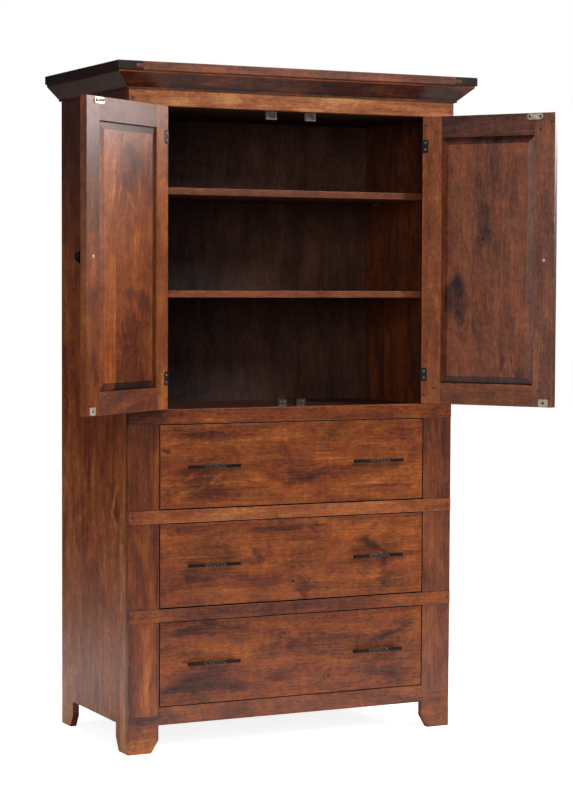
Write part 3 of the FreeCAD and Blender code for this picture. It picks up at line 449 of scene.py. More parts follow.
def wood(name, board, stains_and_shade):
    """A lacquered wood material for one board: its figure, knots, stain, painted shade and light, end grain,
    gloss and fine bump.
    """
    material, bench, shader = new_material(name)
    face = grain_place(bench, board["grain"], board["door"])
    ripple = bench.vectors("SUBTRACT", bench.noise(face, *RIPPLE, output="Color"), (0.5, 0.5, 0.5))
    ripple = bench.vectors("MULTIPLY", ripple, STAIN_RIPPLE)
    stained = bench.vectors("ADD", face, ripple)
    bent, hearts = bend_round_knots(bench, face, ripple, board["knots"])
    bent, stained, tone = glue_up(bench, bent, stained, board["tone"], board["joints"])
    tone = add_stains_and_shade(bench, stained, tone, stains_and_shade, board["joints"])
    figure = draw_figure(bench, bent, tone, board)
    tone = bench.darken(figure["Tone"], hearts, KNOT_DEPTH)
    tone = darken_faces(bench, tone, board)
    shine = board["shine"]
    if board["shine_grows"]:
        shine = bench.fade(bench.part(face, "X"), *board["shine_grows"], DULL_SHINE, shine)
    # Gap faces get painted shade, for the shadow in the gaps between parts, and lose their shine.
    if board["raw"]:
        raw = facing(bench, *board["raw"])
        tone = bench.darken(tone, raw, GAP_SHADE_DEPTH)
        shine = bench.times(bench.minus(1.0, raw), shine)
    hue = bench.swing(bench.noise(stained, *WARMTH), board["hue"])
    hue = bench.plus(hue, MIDDLE_HUE - board["redder"])
    wants = {"Hue": hue, "Saturation": board["wash"], "Color": bench.ramp(tone, board["stops"])}
    colour = bench.add("ShaderNodeHueSaturation", wants).outputs["Color"]
    gloss = bench.fade(figure["Streaks"], *STREAK_EDGE, *board["gloss"])
    relief = bench.plus(figure["Pores"], figure["Streaks"])
    eased = bench.add("ShaderNodeBevel", {"Radius": ARRIS}, samples=ARRIS_SAMPLES).outputs["Normal"]
    bump = bench.add("ShaderNodeBump", {"Height": relief, "Normal": eased, **WOOD_BUMP}).outputs["Normal"]
    bench.fill(shader, {"Base Color": colour, "Roughness": gloss, "Normal": bump, "IOR": LACQUER_IOR})
    # The export drops a linked shine, so the socket holds the plain one too.
    shader.inputs["Specular IOR Level"].default_value = board["shine"]
    bench.feed(shader.inputs["Specular IOR Level"], shine)
    return material


# Metals: fine grit over wide clouds, and the layer that marks a mesh's points for another colour.
MARKED_LAYER = "marked_points"
GRIT_FINER = 9
CLOUD_EDGE = (0.3, 0.7)
GRIT_EDGE = (0.25, 0.75)
MARK_LEAST = 0.35
METAL_BUMP = {"Strength": 0.2, "Distance": 0.0003}


def metal(name, stops, roughness, mottle, metallic, marked_colour=None, matt=False, shine=0.5):
    """A metal whose colour and gloss wander; a second colour goes on its marked points, which may be matt."""
    material, bench, shader = new_material(name)
    where = bench.coordinates("Object")
    cloud = bench.noise(where, (mottle,) * 3, detail=4.0, roughness=0.6)
    grit = bench.noise(where, (mottle * GRIT_FINER,) * 3, detail=2.0)
    colour = bench.ramp(bench.fade(cloud, *CLOUD_EDGE), stops)
    gloss = bench.fade(grit, *GRIT_EDGE, *roughness)
    if marked_colour:
        marked_points = bench.add("ShaderNodeAttribute", attribute_name=MARKED_LAYER).outputs["Fac"]
        marking = bench.times(marked_points, bench.fade(grit, *CLOUD_EDGE, MARK_LEAST, 1.0))
        colour = bench.mix(marking, colour, marked_colour)
        if matt:
            gloss = bench.maths("MAXIMUM", gloss, marked_points)
    bump = bench.add("ShaderNodeBump", {"Height": grit, **METAL_BUMP}).outputs["Normal"]
    wants = {"Base Color": colour, "Roughness": gloss, "Normal": bump}
    bench.fill(shader, {**wants, "Metallic": metallic, "Specular IOR Level": shine})
    return material


def catch_plastic():
    """Moulded plastic: grey for the catches at the top, brown for those on the cabinet floor."""
    material = metal("catch_plastic", GREY_PLASTIC, roughness=(0.45, 0.6), mottle=50, metallic=0.0)
    bench = Bench(material.node_tree)
    socket = material.node_tree.nodes["Principled BSDF"].inputs["Base Color"]
    height = bench.part(bench.coordinates("Object"), "Z")
    on_floor = bench.maths("LESS_THAN", height, KNOB_Z)
    bench.feed(socket, bench.mix(on_floor, socket.links[0].from_socket, BROWN_PLASTIC))
    return material


def dress(node_name, material):
    """Give a CAD node its material."""
    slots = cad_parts[node_name].data.materials
    slots.clear()
    slots.append(material)


def door_along(side):
    """The way along an open door, away from its hinge."""
    return Matrix.Rotation(DOOR_TURN[side], 3, "Z") @ Vector((DOOR_SIGN[side], 0, 0))


# Ways that a face can look.
FORWARD = (0, -1, 0)
FACING_LEFT = ((-1, 0, 0), 0.5, 0.9)
FACING_UP = ((0, 0, 1), 0.5, 0.9)
FACING_DOWN = ((0, 0, -1), 0.5, 0.9)
NOT_FORWARD = (FORWARD, 0.9, 0.6)
LEFT_ALONG, RIGHT_ALONG = door_along("left"), door_along("right")

DULL_GLOSS = (0.5, 0.65)
# Inside boards: darker, greyer colours as painted shade for the dim inside, and a dull gloss.
SHADED_INSIDE = {"stops": INSIDE_SHADE_STOPS, "gloss": DULL_GLOSS, "shine": 0.3, "wash": 0.88}
LEFT_DOOR = {"door": "left", "gloss": (0.34, 0.46)}
RIGHT_DOOR = {"door": "right", "gloss": (0.28, 0.38)}
FINE_STILE = {"spacing": 0.007, "curl": 0.12, "mottle": 0.1, "streak": 0.6}
BREADBOARD = {"blotch": 0.4, "mottle": 0.1, "shine": 0.35}
# Shelves: painted shade on their undersides.
SHELF = {"wash": 0.95, "blotch": 0.4, "mottle": 0.1, "glaze": ((*FACING_DOWN, 0.30),)}
PANEL_CUT = {"ends": 0.34, "cut": (0.10, 0.22)}


def plank(grain, seed, tone, **choices):
    """A board's grain, seed and tone, and its choices over the plain board's."""
    return {**PLAIN_BOARD, "grain": grain, "seed": seed, "tone": tone, **choices}


BOARDS = {
    # Its forward face has painted shade.
    "left_side_panel": plank(
        SIDE, 3, 0.82, redder=0.006, joints=((-0.205, -0.05), (-0.04, -0.03), (0.1, 0.05)),
        glaze=((FORWARD, 0.45, 0.85, 0.55),),
    ),
    # Its inner face has a little painted shade.
    "right_side_panel": plank(
        SIDE, 4, 0.56, joints=((-0.16, -0.05), (-0.03, 0.06), (0.12, -0.04)), glaze=((*FACING_LEFT, 0.04),),
    ),
    # Its left face has painted light.
    "left_front_stile": plank(STILE, 5, 0.46, glaze=((*FACING_LEFT, -0.12),), **FINE_STILE),
    # Its inner face is a gap face, with painted shade.
    "right_front_stile": plank(STILE, 6, 0.44, wash=0.95, raw=FACING_LEFT, **FINE_STILE),
    "top_rail": plank(RAIL, 7, 0.82, spacing=0.008, blotch=1.1),
    "door_sill_rail": plank(RAIL, 8, 0.51),
    # Its top face is a gap face with painted shade; its left end has painted light.
    "upper_drawer_rail": plank(
        RAIL, 9, 0.68, wash=0.97, spacing=0.006, rings=0.12, raw=FACING_UP, glaze=((*FACING_LEFT, -0.35),),
    ),
    # Its top face is a gap face with painted shade; its left end has painted light.
    "lower_drawer_rail": plank(RAIL, 10, 0.48, raw=FACING_UP, glaze=((*FACING_LEFT, -0.15),)),
    # Its left-facing side has painted light.
    "base_rail": plank(RAIL, 11, 0.47, glaze=((*FACING_LEFT, -0.5),)),
    "top_board": plank(TOP, 12, 0.46, joints=((-0.17, 0.05), (-0.02, -0.05), (0.13, 0.06))),
    "left_breadboard_end": plank(DEPTH, 13, 0.02, **BREADBOARD),
    "right_breadboard_end": plank(DEPTH, 14, 0.05, **BREADBOARD),
    # Its upright faces have painted light.
    "crown_front": plank(RAIL, 15, 0.25, shine=0.28, glaze=((FORWARD, 0.85, 0.97, -0.3),)),
    "crown_left": plank(FRONT_TO_BACK, 16, 0.2, blotch=0.4, mottle=0.08),
    "crown_right": plank(FRONT_TO_BACK, 17, 0.32),
    "rear_base_rail": plank(RAIL, 18, 0.5),
    "upper_shelf": plank(TOP, 19, 0.54, **SHELF),
    "lower_shelf": plank(TOP, 20, 0.56, **SHELF),
    "back_panel": plank(STILE, 21, 0.4, **SHADED_INSIDE),
    "cabinet_floor": plank(TOP, 22, 0.71, **SHADED_INSIDE),
    "case_bottom": plank(TOP, 23, 0.45, **SHADED_INSIDE),
    # The ceiling's very low tone is more painted shade.
    "case_ceiling": plank(TOP, 24, 0.07, **SHADED_INSIDE),
    "corner_blocks": plank(STILE, 25, 0.45, **SHADED_INSIDE),
    "slide_spacers": plank(FRONT_TO_BACK, 26, 0.45, **SHADED_INSIDE),
    "frame_pegs": plank(DEPTH, 27, 0.85, stops=DARK_PEG, ends=0),
    "left_door_hinge_stile": plank(STILE, 41, 0.6, **LEFT_DOOR),
    # Its free edge has painted light.
    "left_door_meeting_stile": plank(
        STILE, 42, 0.5, mottle=0.1, shine_grows=(1.0, 1.5),
        glaze=((LEFT_ALONG, 0.8, 0.95, -0.14),), **LEFT_DOOR,
    ),
    "left_door_top_rail": plank(
        RAIL, 43, 0.385, shine=0.46, shine_grows=(0.75, 0.12), blotch=0.5, mottle=0.08, **LEFT_DOOR,
    ),
    "left_door_bottom_rail": plank(RAIL, 44, 0.44, **LEFT_DOOR),
    # Its bevels have painted shade, more on the hinge side.
    "left_door_panel": plank(
        STILE, 45, 0.55, blotch=0.7, streak=0.3, joints=((0.282, 0.13),), shine_grows=(1.1, 1.55),
        glaze=((LEFT_ALONG, -0.1, -0.22, 0.3), (LEFT_ALONG, 0.1, 0.22, 0.13)), **LEFT_DOOR, **PANEL_CUT,
    ),
    # The right door's boards have less colour strength: a grey cast painted in for a faint sheen.
    "right_door_hinge_stile": plank(STILE, 51, 0.64, wash=0.97, **RIGHT_DOOR),
    # Its free edge has painted shade.
    "right_door_meeting_stile": plank(
        STILE, 52, 0.55, wash=0.9, glaze=((RIGHT_ALONG, 0.8, 0.95, 0.3),), **RIGHT_DOOR,
    ),
    "right_door_top_rail": plank(RAIL, 53, 0.28, wash=0.93, **RIGHT_DOOR),
    "right_door_bottom_rail": plank(RAIL, 54, 0.5, wash=0.96, **RIGHT_DOOR),
    # Its side bevels have a little painted shade.
    "right_door_panel": plank(
        STILE, 55, 0.52, wash=0.95, blotch=0.7, streak=0.35, joints=((-0.261, -0.03), (-0.171, 0.05)),
        glaze=((RIGHT_ALONG, -0.1, -0.22, 0.07), (RIGHT_ALONG, 0.1, 0.22, 0.07)),
        knots=((1.492, -0.205, 0.014, 0.012), (1.355, -0.118, 0.01, 0.01), (1.345, -0.09, 0.008, 0.009)),
        **RIGHT_DOOR, **PANEL_CUT,
    ),
    # A drawer front's edges are gap faces, with painted shade.
    "upper_drawer_front": plank(RAIL, 31, 0.57, raw=NOT_FORWARD),
    "middle_drawer_front": plank(RAIL, 32, 0.54, knots=((-0.006, 0.477, 0.011, 0.01),), raw=NOT_FORWARD),
    "lower_drawer_front": plank(
        RAIL, 33, 0.5, shine=0.4, knots=((-0.031, 0.322, 0.012, 0.01), (0.115, 0.186, 0.014, 0.009)),
        raw=NOT_FORWARD,
    ),
}
for side in HINGES:
    BOARDS[f"{side}_door_pegs"] = plank(DEPTH, 46, 0.5, stops=DARK_PEG, door=side)
for level in PULL_LEVELS:
    BOARDS[f"{level}_drawer_box"] = plank(FRONT_TO_BACK, 1, 0.5, stops=PALE_BOX_WOOD, gloss=DULL_GLOSS)

# Stains and painted shade are (along the grain, across it, half length, half width, depth), and for one that
# leans also how far across it goes for each metre along. A negative depth is lighter than the board.
STAINS_AND_PAINTED_SHADE = {
    "left_side_panel": (
        # The first two are painted shade: the upper side darker, in the open left door's shadow, and a shadow
        # band just below the door's foot.
        (2.1, 0, 0.72, WHOLE, 0.58), (1.04, 0, 0.2, WHOLE, 0.18), (0.78, -0.115, 0.045, 0.012, 0.21, 1.075),
        (0.726, -0.166, 0.036, 0.011, -0.46, -0.7), (0.671, -0.161, 0.03, 0.011, -0.46, 0.78),
        (0.7, -0.188, 0.04, 0.014, 0.26), (0.8, -0.145, 0.03, 0.016, -0.14),
        (0.765, -0.07, 0.03, 0.02, -0.12), (0.44, -0.224, 0.03, 0.008, -0.22),
        (0.05, 0.22, 0.12, 0.1, -0.22), (0.86, 0.2, 0.2, 0.09, -0.1), (0.44, 0.2, 0.1, 0.09, -0.1),
        (0.05, -0.25, 0.11, 0.04, -0.42),
    ),
    # Painted shade: a darker band high up, for the top of the inside.
    "right_side_panel": ((1.82, 0, 0.2, WHOLE, 0.24),),
    "left_front_stile": (
        (0.25, -0.47, 0.13, 0.03, -0.12), (0.55, -0.49, 0.14, 0.05, 0.04),
        (0.24, -0.474, 0.16, 0.022, -0.26), (0.25, -0.522, 0.22, 0.012, 0.14),
        (0.2, -0.46, 0.07, 0.004, 0.26, 0.16), (0.19, -0.486, 0.06, 0.003, 0.2, -0.14),
        # The last one is painted shadow of the open left door, on the stile's top.
        (0.2, -0.44, 0.3, 0.005, 0.2), (0.94, -0.48, 0.06, 0.2, 0.16),
    ),
    # Painted light: the stile is lighter towards its foot.
    "right_front_stile": ((0.1, 0.48, 0.3, 0.2, -0.1),),
    # Painted shadow of the open left door on the sill's left end.
    "door_sill_rail": ((-0.49, 0.975, 0.08, 0.2, 0.3),),
    "lower_drawer_rail": (
        (-0.05, 0.4, 0.3, 0.05, 0.16), (0.5, 0.4, 0.07, 0.2, -0.24), (-0.47, 0.4, 0.07, 0.2, -0.2),
    ),
    "base_rail": (
        (-0.48, 0.015, 0.07, 0.04, -0.34), (-0.48, 0.098, 0.06, 0.012, 0.24),
        (0.48, 0.015, 0.07, 0.04, -0.09),
    ),
    "crown_front": ((0, 1.908, WHOLE, 0.012, 0.3), (-0.5, 1.93, 0.09, 0.2, -0.12)),
    # Painted shade and light: darker low down and on the left half, lighter on the right half.
    "back_panel": ((1.1, 0, 0.2, WHOLE, 0.08), (1.4, 0.48, WHOLE, 0.5, -0.2), (1.4, -0.5, WHOLE, 0.6, 0.24)),
    "left_door_meeting_stile": ((1.38, 0.39, 0.05, 0.03, -0.16), (1.72, 0.4, 0.3, 0.2, 0.12)),
    "left_door_bottom_rail": ((0.14, 1.02, 0.09, 0.04, 0.1),),
    "left_door_panel": (
        (1.7, 0.2, 0.05, 0.045, 0.24), (1.665, 0.13, 0.05, 0.03, 0.2), (1.64, 0.225, 0.03, 0.03, 0.22),
        (1.59, 0.205, 0.03, 0.004, -0.3, 0.55), (1.6, 0.262, 0.035, 0.005, -0.3, -0.35),
        (1.57, 0.18, 0.022, 0.005, -0.34), (1.605, 0.16, 0.02, 0.005, -0.22, -0.5),
        (1.54, 0.15, 0.03, 0.04, 0.14), (1.48, 0.175, 0.03, 0.02, -0.18),
        (1.44, 0.195, 0.035, 0.015, -0.16, 0.3), (1.42, 0.13, 0.05, 0.02, -0.08),
        (1.31, 0.15, 0.028, 0.04, 0.22), (1.325, 0.215, 0.02, 0.03, 0.18, 0.6), (1.24, 0.2, 0.04, 0.06, 0.2),
        (1.265, 0.12, 0.05, 0.03, 0.16), (1.25, 0.24, 0.03, 0.005, -0.22, 0.5),
        (1.13, 0.19, 0.12, 0.09, 0.27), (1.08, 0.13, 0.04, 0.03, 0.12),
    ),
    "right_door_panel": (
        (1.55, -0.205, 0.06, 0.026, 0.32), (1.49, -0.208, 0.032, 0.03, 0.36),
        (1.505, -0.196, 0.014, 0.003, -0.3, 0.9), (1.31, -0.112, 0.066, 0.044, 0.4),
        (1.35, -0.128, 0.036, 0.03, 0.26), (1.255, -0.125, 0.03, 0.018, 0.22),
        (1.2, -0.13, 0.02, 0.018, 0.16), (1.17, -0.29, 0.014, 0.004, 0.34),
        (1.14, -0.295, 0.012, 0.004, 0.34), (1.12, -0.262, 0.02, 0.016, 0.22),
        (1.105, -0.325, 0.022, 0.016, 0.26), (1.095, -0.3, 0.01, 0.006, -0.25),
        (1.7, -0.24, 0.06, 0.014, 0.14), (1.66, -0.19, 0.03, 0.012, 0.14), (1.6, -0.3, 0.1, 0.012, 0.14),
    ),
    "upper_drawer_front": (
        (-0.3, 0.775, 0.085, 0.052, 0.3), (-0.205, 0.76, 0.05, 0.045, 0.12),
        (-0.33, 0.8, 0.05, 0.006, -0.22, 0.5), (-0.29, 0.775, 0.045, 0.005, -0.2, 0.6),
        (-0.235, 0.78, 0.04, 0.006, -0.18, -0.5), (-0.36, 0.752, 0.04, 0.006, -0.18, 0.4),
        (-0.26, 0.914, 0.15, 0.014, 0.18), (-0.412, 0.88, 0.018, 0.007, 0.42, -0.3),
        (-0.4, 0.92, 0.02, 0.03, -0.1), (0.062, 0.916, 0.012, 0.012, 0.25),
        (0.122, 0.908, 0.022, 0.013, 0.26), (0.018, 0.788, 0.045, 0.024, 0.22),
        (0.085, 0.795, 0.05, 0.014, 0.17, 0.3), (-0.02, 0.762, 0.03, 0.014, 0.2),
        (0.29, 0.813, 0.15, 0.01, 0.2), (0.274, 0.75, 0.13, 0.008, 0.2), (0.22, 0.865, 0.02, 0.012, 0.18),
        (0.36, 0.9, 0.08, 0.028, 0.14),
    ),
    "middle_drawer_front": (
        (-0.062, 0.63, 0.1, 0.014, 0.26), (0.01, 0.64, 0.11, 0.01, 0.2),
        (-0.116, 0.559, 0.014, 0.028, 0.3, -0.4), (-0.15, 0.545, 0.03, 0.014, 0.2),
        (0.04, 0.452, 0.014, 0.034, 0.31, -0.7), (0.02, 0.47, 0.012, 0.022, 0.2, -0.8),
        (0.268, 0.574, 0.03, 0.018, 0.3, -0.4), (0.235, 0.59, 0.035, 0.01, 0.24),
        (0.299, 0.52, 0.014, 0.05, 0.24), (0.29, 0.462, 0.022, 0.02, 0.26), (-0.29, 0.553, 0.09, 0.012, 0.2),
        (-0.3, 0.5, 0.09, 0.01, 0.14), (-0.4, 0.61, 0.04, 0.04, -0.12), (-0.25, 0.45, 0.14, 0.022, -0.1),
        (0.38, 0.58, 0.05, 0.04, -0.1),
    ),
    "lower_drawer_front": (
        (-0.33, 0.352, 0.07, 0.012, 0.24, 0.25), (-0.22, 0.356, 0.08, 0.01, 0.22, -0.2),
        (-0.28, 0.338, 0.11, 0.007, 0.18), (-0.03, 0.318, 0.018, 0.02, 0.26),
        (-0.05, 0.295, 0.012, 0.022, 0.22, 0.7), (-0.006, 0.292, 0.012, 0.022, 0.22, -0.7),
        (0.045, 0.318, 0.035, 0.008, 0.2, 0.3), (-0.085, 0.285, 0.03, 0.009, 0.18, 0.3),
        (-0.31, 0.192, 0.13, 0.032, 0.28), (-0.18, 0.18, 0.05, 0.022, 0.16),
        (-0.023, 0.202, 0.12, 0.02, 0.2), (0.1, 0.188, 0.03, 0.018, 0.16, 0.8),
        (0.328, 0.189, 0.08, 0.022, 0.24), (0.26, 0.2, 0.04, 0.016, 0.16),
        (0.347, 0.305, 0.06, 0.012, 0.22, 0.3), (0.3, 0.29, 0.05, 0.008, 0.18, 0.3),
        (0.38, 0.335, 0.05, 0.02, 0.18),
    ),
}
SLIDE_STEEL = {"stops": BRIGHT_STEEL, "roughness": (0.25, 0.45), "mottle": 40, "metallic": 1.0}
HINGE_METAL = {"stops": HINGE_IRON, "roughness": (0.3, 0.45), "mottle": 70, "metallic": 0.5}


def dress_boards():
    for name, board in BOARDS.items():
        dress(name, wood(f"{name}_wood", board, STAINS_AND_PAINTED_SHADE.get(name, ())))


def dress_fittings():
    """Give the fittings that stay as they are in the CAD model their metal or plastic."""
    pin_steel = metal("shelf_pin_steel", BRIGHT_STEEL, roughness=(0.25, 0.4), mottle=60, metallic=1.0)
    dress("shelf_pins", pin_steel)
    dress("drawer_slide_rails", metal("slide_rail_steel", **SLIDE_STEEL))
    for level in PULL_LEVELS:
        dress(f"{level}_drawer_slides", metal(f"{level}_slide_steel", **SLIDE_STEEL))
    dress("door_catches", catch_plastic())
    pole_steel = metal("catch_pole_steel", DULL_STEEL, roughness=(0.4, 0.55), mottle=50, metallic=0.8)
    dress("catch_poles", pole_steel)
    dress("case_hinge_leaves", metal("case_hinge_iron", **HINGE_METAL))


def put(name, data):
    """A new object in the scene."""
    thing = bpy.data.objects.new(name, data)
    bpy.context.scene.collection.objects.link(thing)
    return thing


def put_mesh(bm, name, material):
    """A bmesh made an object with a material."""
    mesh = bpy.data.meshes.new(name)
    bm.to_mesh(mesh)
    bm.free()
    mesh.materials.append(material)
    return put(name, mesh)


def finish_piece(bm, name, material, body, replaced=()):
    """Turn a bmesh into a piece that rides on a body and stands for CAD nodes."""
    bmesh.ops.recalc_face_normals(bm, faces=bm.faces)
    piece = put_mesh(bm, name, material)
    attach(piece, body)
    if replaced:
        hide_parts(*replaced)
    return piece


def door_place(side):
    """Where a door stands: from as drawn shut to open."""
    return Matrix.Translation(HINGES[side]) @ Matrix.Rotation(DOOR_TURN[side], 4, "Z")


def finish_on_door(bm, name, material, side, replaced=()):
    """Swing a piece that is drawn on a shut door to where the door stands, and finish it."""
    bmesh.ops.transform(bm, matrix=door_place(side), verts=bm.verts)
    return finish_piece(bm, f"{side}_{name}", material, f"{side}_door", replaced)


TURN_STEPS = 48
SMALL_TURN_STEPS = 24
SAME_POINT = 1e-6
EASE_SEGMENTS = 2
CORNER_SEGMENTS = 6


def turned(bm, profile, centre, steps=TURN_STEPS, axis=(0, 1, 0)):
    """Spin a profile of (radius, height along the axis) round an axis through a centre."""
    axis, centre = Vector(axis), Vector(centre)
    verts = [bm.verts.new(centre + Vector((radius, 0, 0)) + axis * height) for radius, height in profile]
    line = verts + [bm.edges.new(pair) for pair in zip(verts, verts[1:])]
    bmesh.ops.spin(bm, geom=line, cent=centre, axis=axis, angle=math.tau, steps=steps, use_merge=True)
    bmesh.ops.remove_doubles(bm, verts=bm.verts, dist=SAME_POINT)


def ease(bm, edges, offset, segments=EASE_SEGMENTS):
    """Round edges over."""
    bmesh.ops.bevel(
        bm, geom=edges, offset=offset, segments=segments, profile=0.5, affect="EDGES", material=-1,
    )


# Twisted pulls. An arris stands further from the bar's middle line than these shares of the bar's width:
# the first before it is eased, the second after.
TWIST_TURNS = 1.5
TWIST_STEPS = 48
BAR_EASE = 0.0009
SHARP_SHARE = 0.6
ARRIS_SHARE = 0.655
POST_PROFILE = ((0, 0), (0.0035, 0), (0.0035, -0.0008), (0.0032, -0.0014), (0.0032, -0.018), (0, -0.018))


def push(bm, face, step):
    """Draw one end face out by a step, and give the new end back."""
    drawn = bmesh.ops.extrude_discrete_faces(bm, faces=[face])["faces"][0]
    bmesh.ops.translate(bm, vec=step, verts=drawn.verts)
    return drawn


def off_axis(vert, z):
    """How far a point of a pull stands from the bar's middle line."""
    return math.hypot(vert.co.y - FRONT + PULL_STANDOFF, vert.co.z - z)


def add_twisted_bar(bm, x, z):
    """A square bar with its middle twisted and its long edges eased."""
    axis = Vector((x, FRONT - PULL_STANDOFF, z))
    end = Matrix.Translation(axis - Vector((PULL_LENGTH / 2, 0, 0)))
    upright = end @ Matrix.Rotation(math.pi / 2, 4, "Y")
    made = bmesh.ops.create_grid(bm, x_segments=2, y_segments=2, size=PULL_BAR / 2, matrix=upright)["verts"]
    quarters = {face for vert in made for face in vert.link_faces}
    first = bmesh.ops.dissolve_faces(bm, faces=list(quarters))["region"][0]
    arm = (PULL_LENGTH - TWIST_LENGTH) / 2
    face = push(bm, first, Vector((arm, 0, 0)))
    spin = Matrix.Rotation(math.tau * TWIST_TURNS / TWIST_STEPS, 3, "X")
    for _ in range(TWIST_STEPS):
        face = push(bm, face, Vector((TWIST_LENGTH / TWIST_STEPS, 0, 0)))
        bmesh.ops.rotate(bm, cent=axis, matrix=spin, verts=face.verts)
    push(bm, face, Vector((arm, 0, 0)))
    arrises = []
    for edge in bm.edges:
        near, far = edge.verts
        corner = min(off_axis(near, z), off_axis(far, z)) > PULL_BAR * SHARP_SHARE
        if corner and abs(near.co.x - far.co.x) > BAR_EASE and abs(near.co.x - x) < PULL_LENGTH:
            arrises.append(edge)
    ease(bm, arrises, BAR_EASE)


def make_pulls(level, iron):
    """The two twisted pulls of a drawer, with the arrises of their twists marked for a pale colour: wear and
    a painted highlight.
    """
    bm = bmesh.new()
    z = PULL_LEVELS[level]
    for x in (-PULL_CENTRE, PULL_CENTRE):
        add_twisted_bar(bm, x, z)
        for post in (x - POST_SPACING / 2, x + POST_SPACING / 2):
            turned(bm, POST_PROFILE, (post, FRONT, z), SMALL_TURN_STEPS)
    # The twists' arrises: worn metal, with a painted highlight.
    marked_points = bm.verts.layers.float.new(MARKED_LAYER)
    for vert in bm.verts:
        on_twist = abs(abs(vert.co.x) - PULL_CENTRE) < TWIST_LENGTH / 2
        on_arris = off_axis(vert, z) > PULL_BAR * ARRIS_SHARE
        vert[marked_points] = float(on_twist and on_arris)
    replaced = f"{level}_drawer_pulls"
    finish_piece(bm, f"{level}_twisted_pulls", iron, f"{level}_drawer", (replaced,))


def make_all_pulls():
    # Pale arrises, partly wear and partly painted highlight.
    marking = {"marked_colour": PULL_WEAR_AND_HIGHLIGHT, "shine": 0.25}
    iron = metal("pull_iron", PULL_IRON, roughness=(0.45, 0.6), mottle=80, metallic=0.3, **marking)
    for level in PULL_LEVELS:
        make_pulls(level, iron)


KNOB_PROFILE = (
    (0, 0), (0.011, 0), (0.0112, -0.0018), (0.01, -0.003), (0.0078, -0.0036),
    (0.0066, -0.006), (0.0064, -0.01), (0.0084, -0.013), (0.015, -0.0152), (0.019, -0.018),
    (0.02, -0.0215), (0.019, -0.0252), (0.0155, -0.0285), (0.01, -0.0308), (0.005, -0.0318),
    (0, -0.032),
)
SCREW_PROFILE = ((0, 0), (0.005, 0), (0.005, 0.001), (0.0042, 0.0019), (0.0024, 0.0024), (0, 0.0025))


def make_knob(side, iron, steel):
    """A turned knob on the meeting stile, and the head of its screw on the inside."""
    along = DOOR_SIGN[side] * KNOB_ALONG
    bm = bmesh.new()
    turned(bm, KNOB_PROFILE, (along, DOOR_FACE, KNOB_Z))
    knob = finish_on_door(bm, "turned_knob", iron, side, (f"{side}_door_knob",))
    bm = bmesh.new()
    turned(bm, SCREW_PROFILE, (along, DOOR_INNER, KNOB_Z))
    screw = finish_on_door(bm, "knob_screw", steel, side)
    for piece in (knob, screw):
        piece.data.shade_smooth()


def make_knobs():
    iron = metal("knob_iron", BLACK_IRON, roughness=(0.35, 0.5), mottle=90, metallic=0.8)
    steel = metal("knob_screw_steel", PALE_NICKEL, roughness=(0.3, 0.45), mottle=90, metallic=0.5)
    for side in DOOR_SIGN:
        make_knob(side, iron, steel)


# Hinge leaves on the doors.
HINGE_LEVELS = (1.0845, 1.7705)
LEAF_TALL = 0.040
LEAF_THICK = 0.001
LEAF_NEAR = 0.00125
WRAP_WIDE = 0.021
LEAF_ROUND = 0.006
KNUCKLE_RADIUS = 0.004
KNUCKLE_BORE = 0.0017
KNUCKLE_TALL = 0.0130
SCREW_SPACING = 0.020
# Strikes: place along the door, height, width, tallness, thickness, corner, places of screws, spear or not.
STRIKES = (
    (0.3695, 1.848, 0.050, 0.018, 0.0024, 0.008, (-0.017, 0.017), True),
    (0.40275, 1.009, 0.030, 0.022, 0.0012, 0.002, (0,), False),
)
SPEAR = (0.004, 0.022, 0.007)
SPEAR_CORNER = 0.001
SPEAR_POINT = (0.35, 1.0, 0.6)
EDGE_EASE = 0.0003
RIM_ANGLE = 0.5
# Screws: domed and bright on the hinges; sunk in the strikes, with painted shade. The colour goes as far as a
# reach.
DOME_SCREW = (
    (0.0034, 0), (0.0034, 0.0006), (0.003, 0.0012), (0.0018, 0.0015), (0.0013, 0.0014), (0.001, 0.0004),
    (0, 0.0004),
)
DOME_REACH = 0.0037
SUNK_SCREW = (
    (0.0056, 0), (0.0056, 0.0004), (0.0052, 0.0006), (0.0046, 0.0006), (0.0042, 0.0003), (0.0039, 0.0001),
    (0, 0.0001),
)
RECESS_SHADE_REACH = 0.0044


def add_plate(bm, centre, size, corner, rounded=lambda x: True):
    """A plate facing along Y, with its chosen corners rounded and the rim of its outer face eased."""
    before = set(bm.verts)
    place = Matrix.Translation(centre) @ Matrix.Diagonal((*size, 1))
    bmesh.ops.create_cube(bm, size=1, matrix=place)
    fresh = [edge for edge in bm.edges if edge.verts[0] not in before]
    posts = [edge for edge in fresh if abs(edge.verts[0].co.y - edge.verts[1].co.y) > size[1] / 2]
    posts = [edge for edge in posts if rounded(edge.verts[0].co.x)]
    ease(bm, posts, corner, CORNER_SEGMENTS)
    outer = centre[1] + size[1] / 2 - EDGE_EASE / 2
    rim = []
    for edge in bm.edges:
        flat = all(vert not in before and vert.co.y > outer for vert in edge.verts)
        if flat and edge.calc_face_angle(0) > RIM_ANGLE:
            rim.append(edge)
    ease(bm, rim, EDGE_EASE)


def add_screw(bm, profile, centre, marked, reach):
    """A turned screw head, with its points within a reach of its middle marked for the other colour."""
    before = set(bm.verts)
    turned(bm, profile, centre, SMALL_TURN_STEPS)
    for vert in bm.verts:
        if vert not in before and math.hypot(vert.co.x - centre[0], vert.co.z - centre[2]) < reach:
            vert[marked] = 1.0


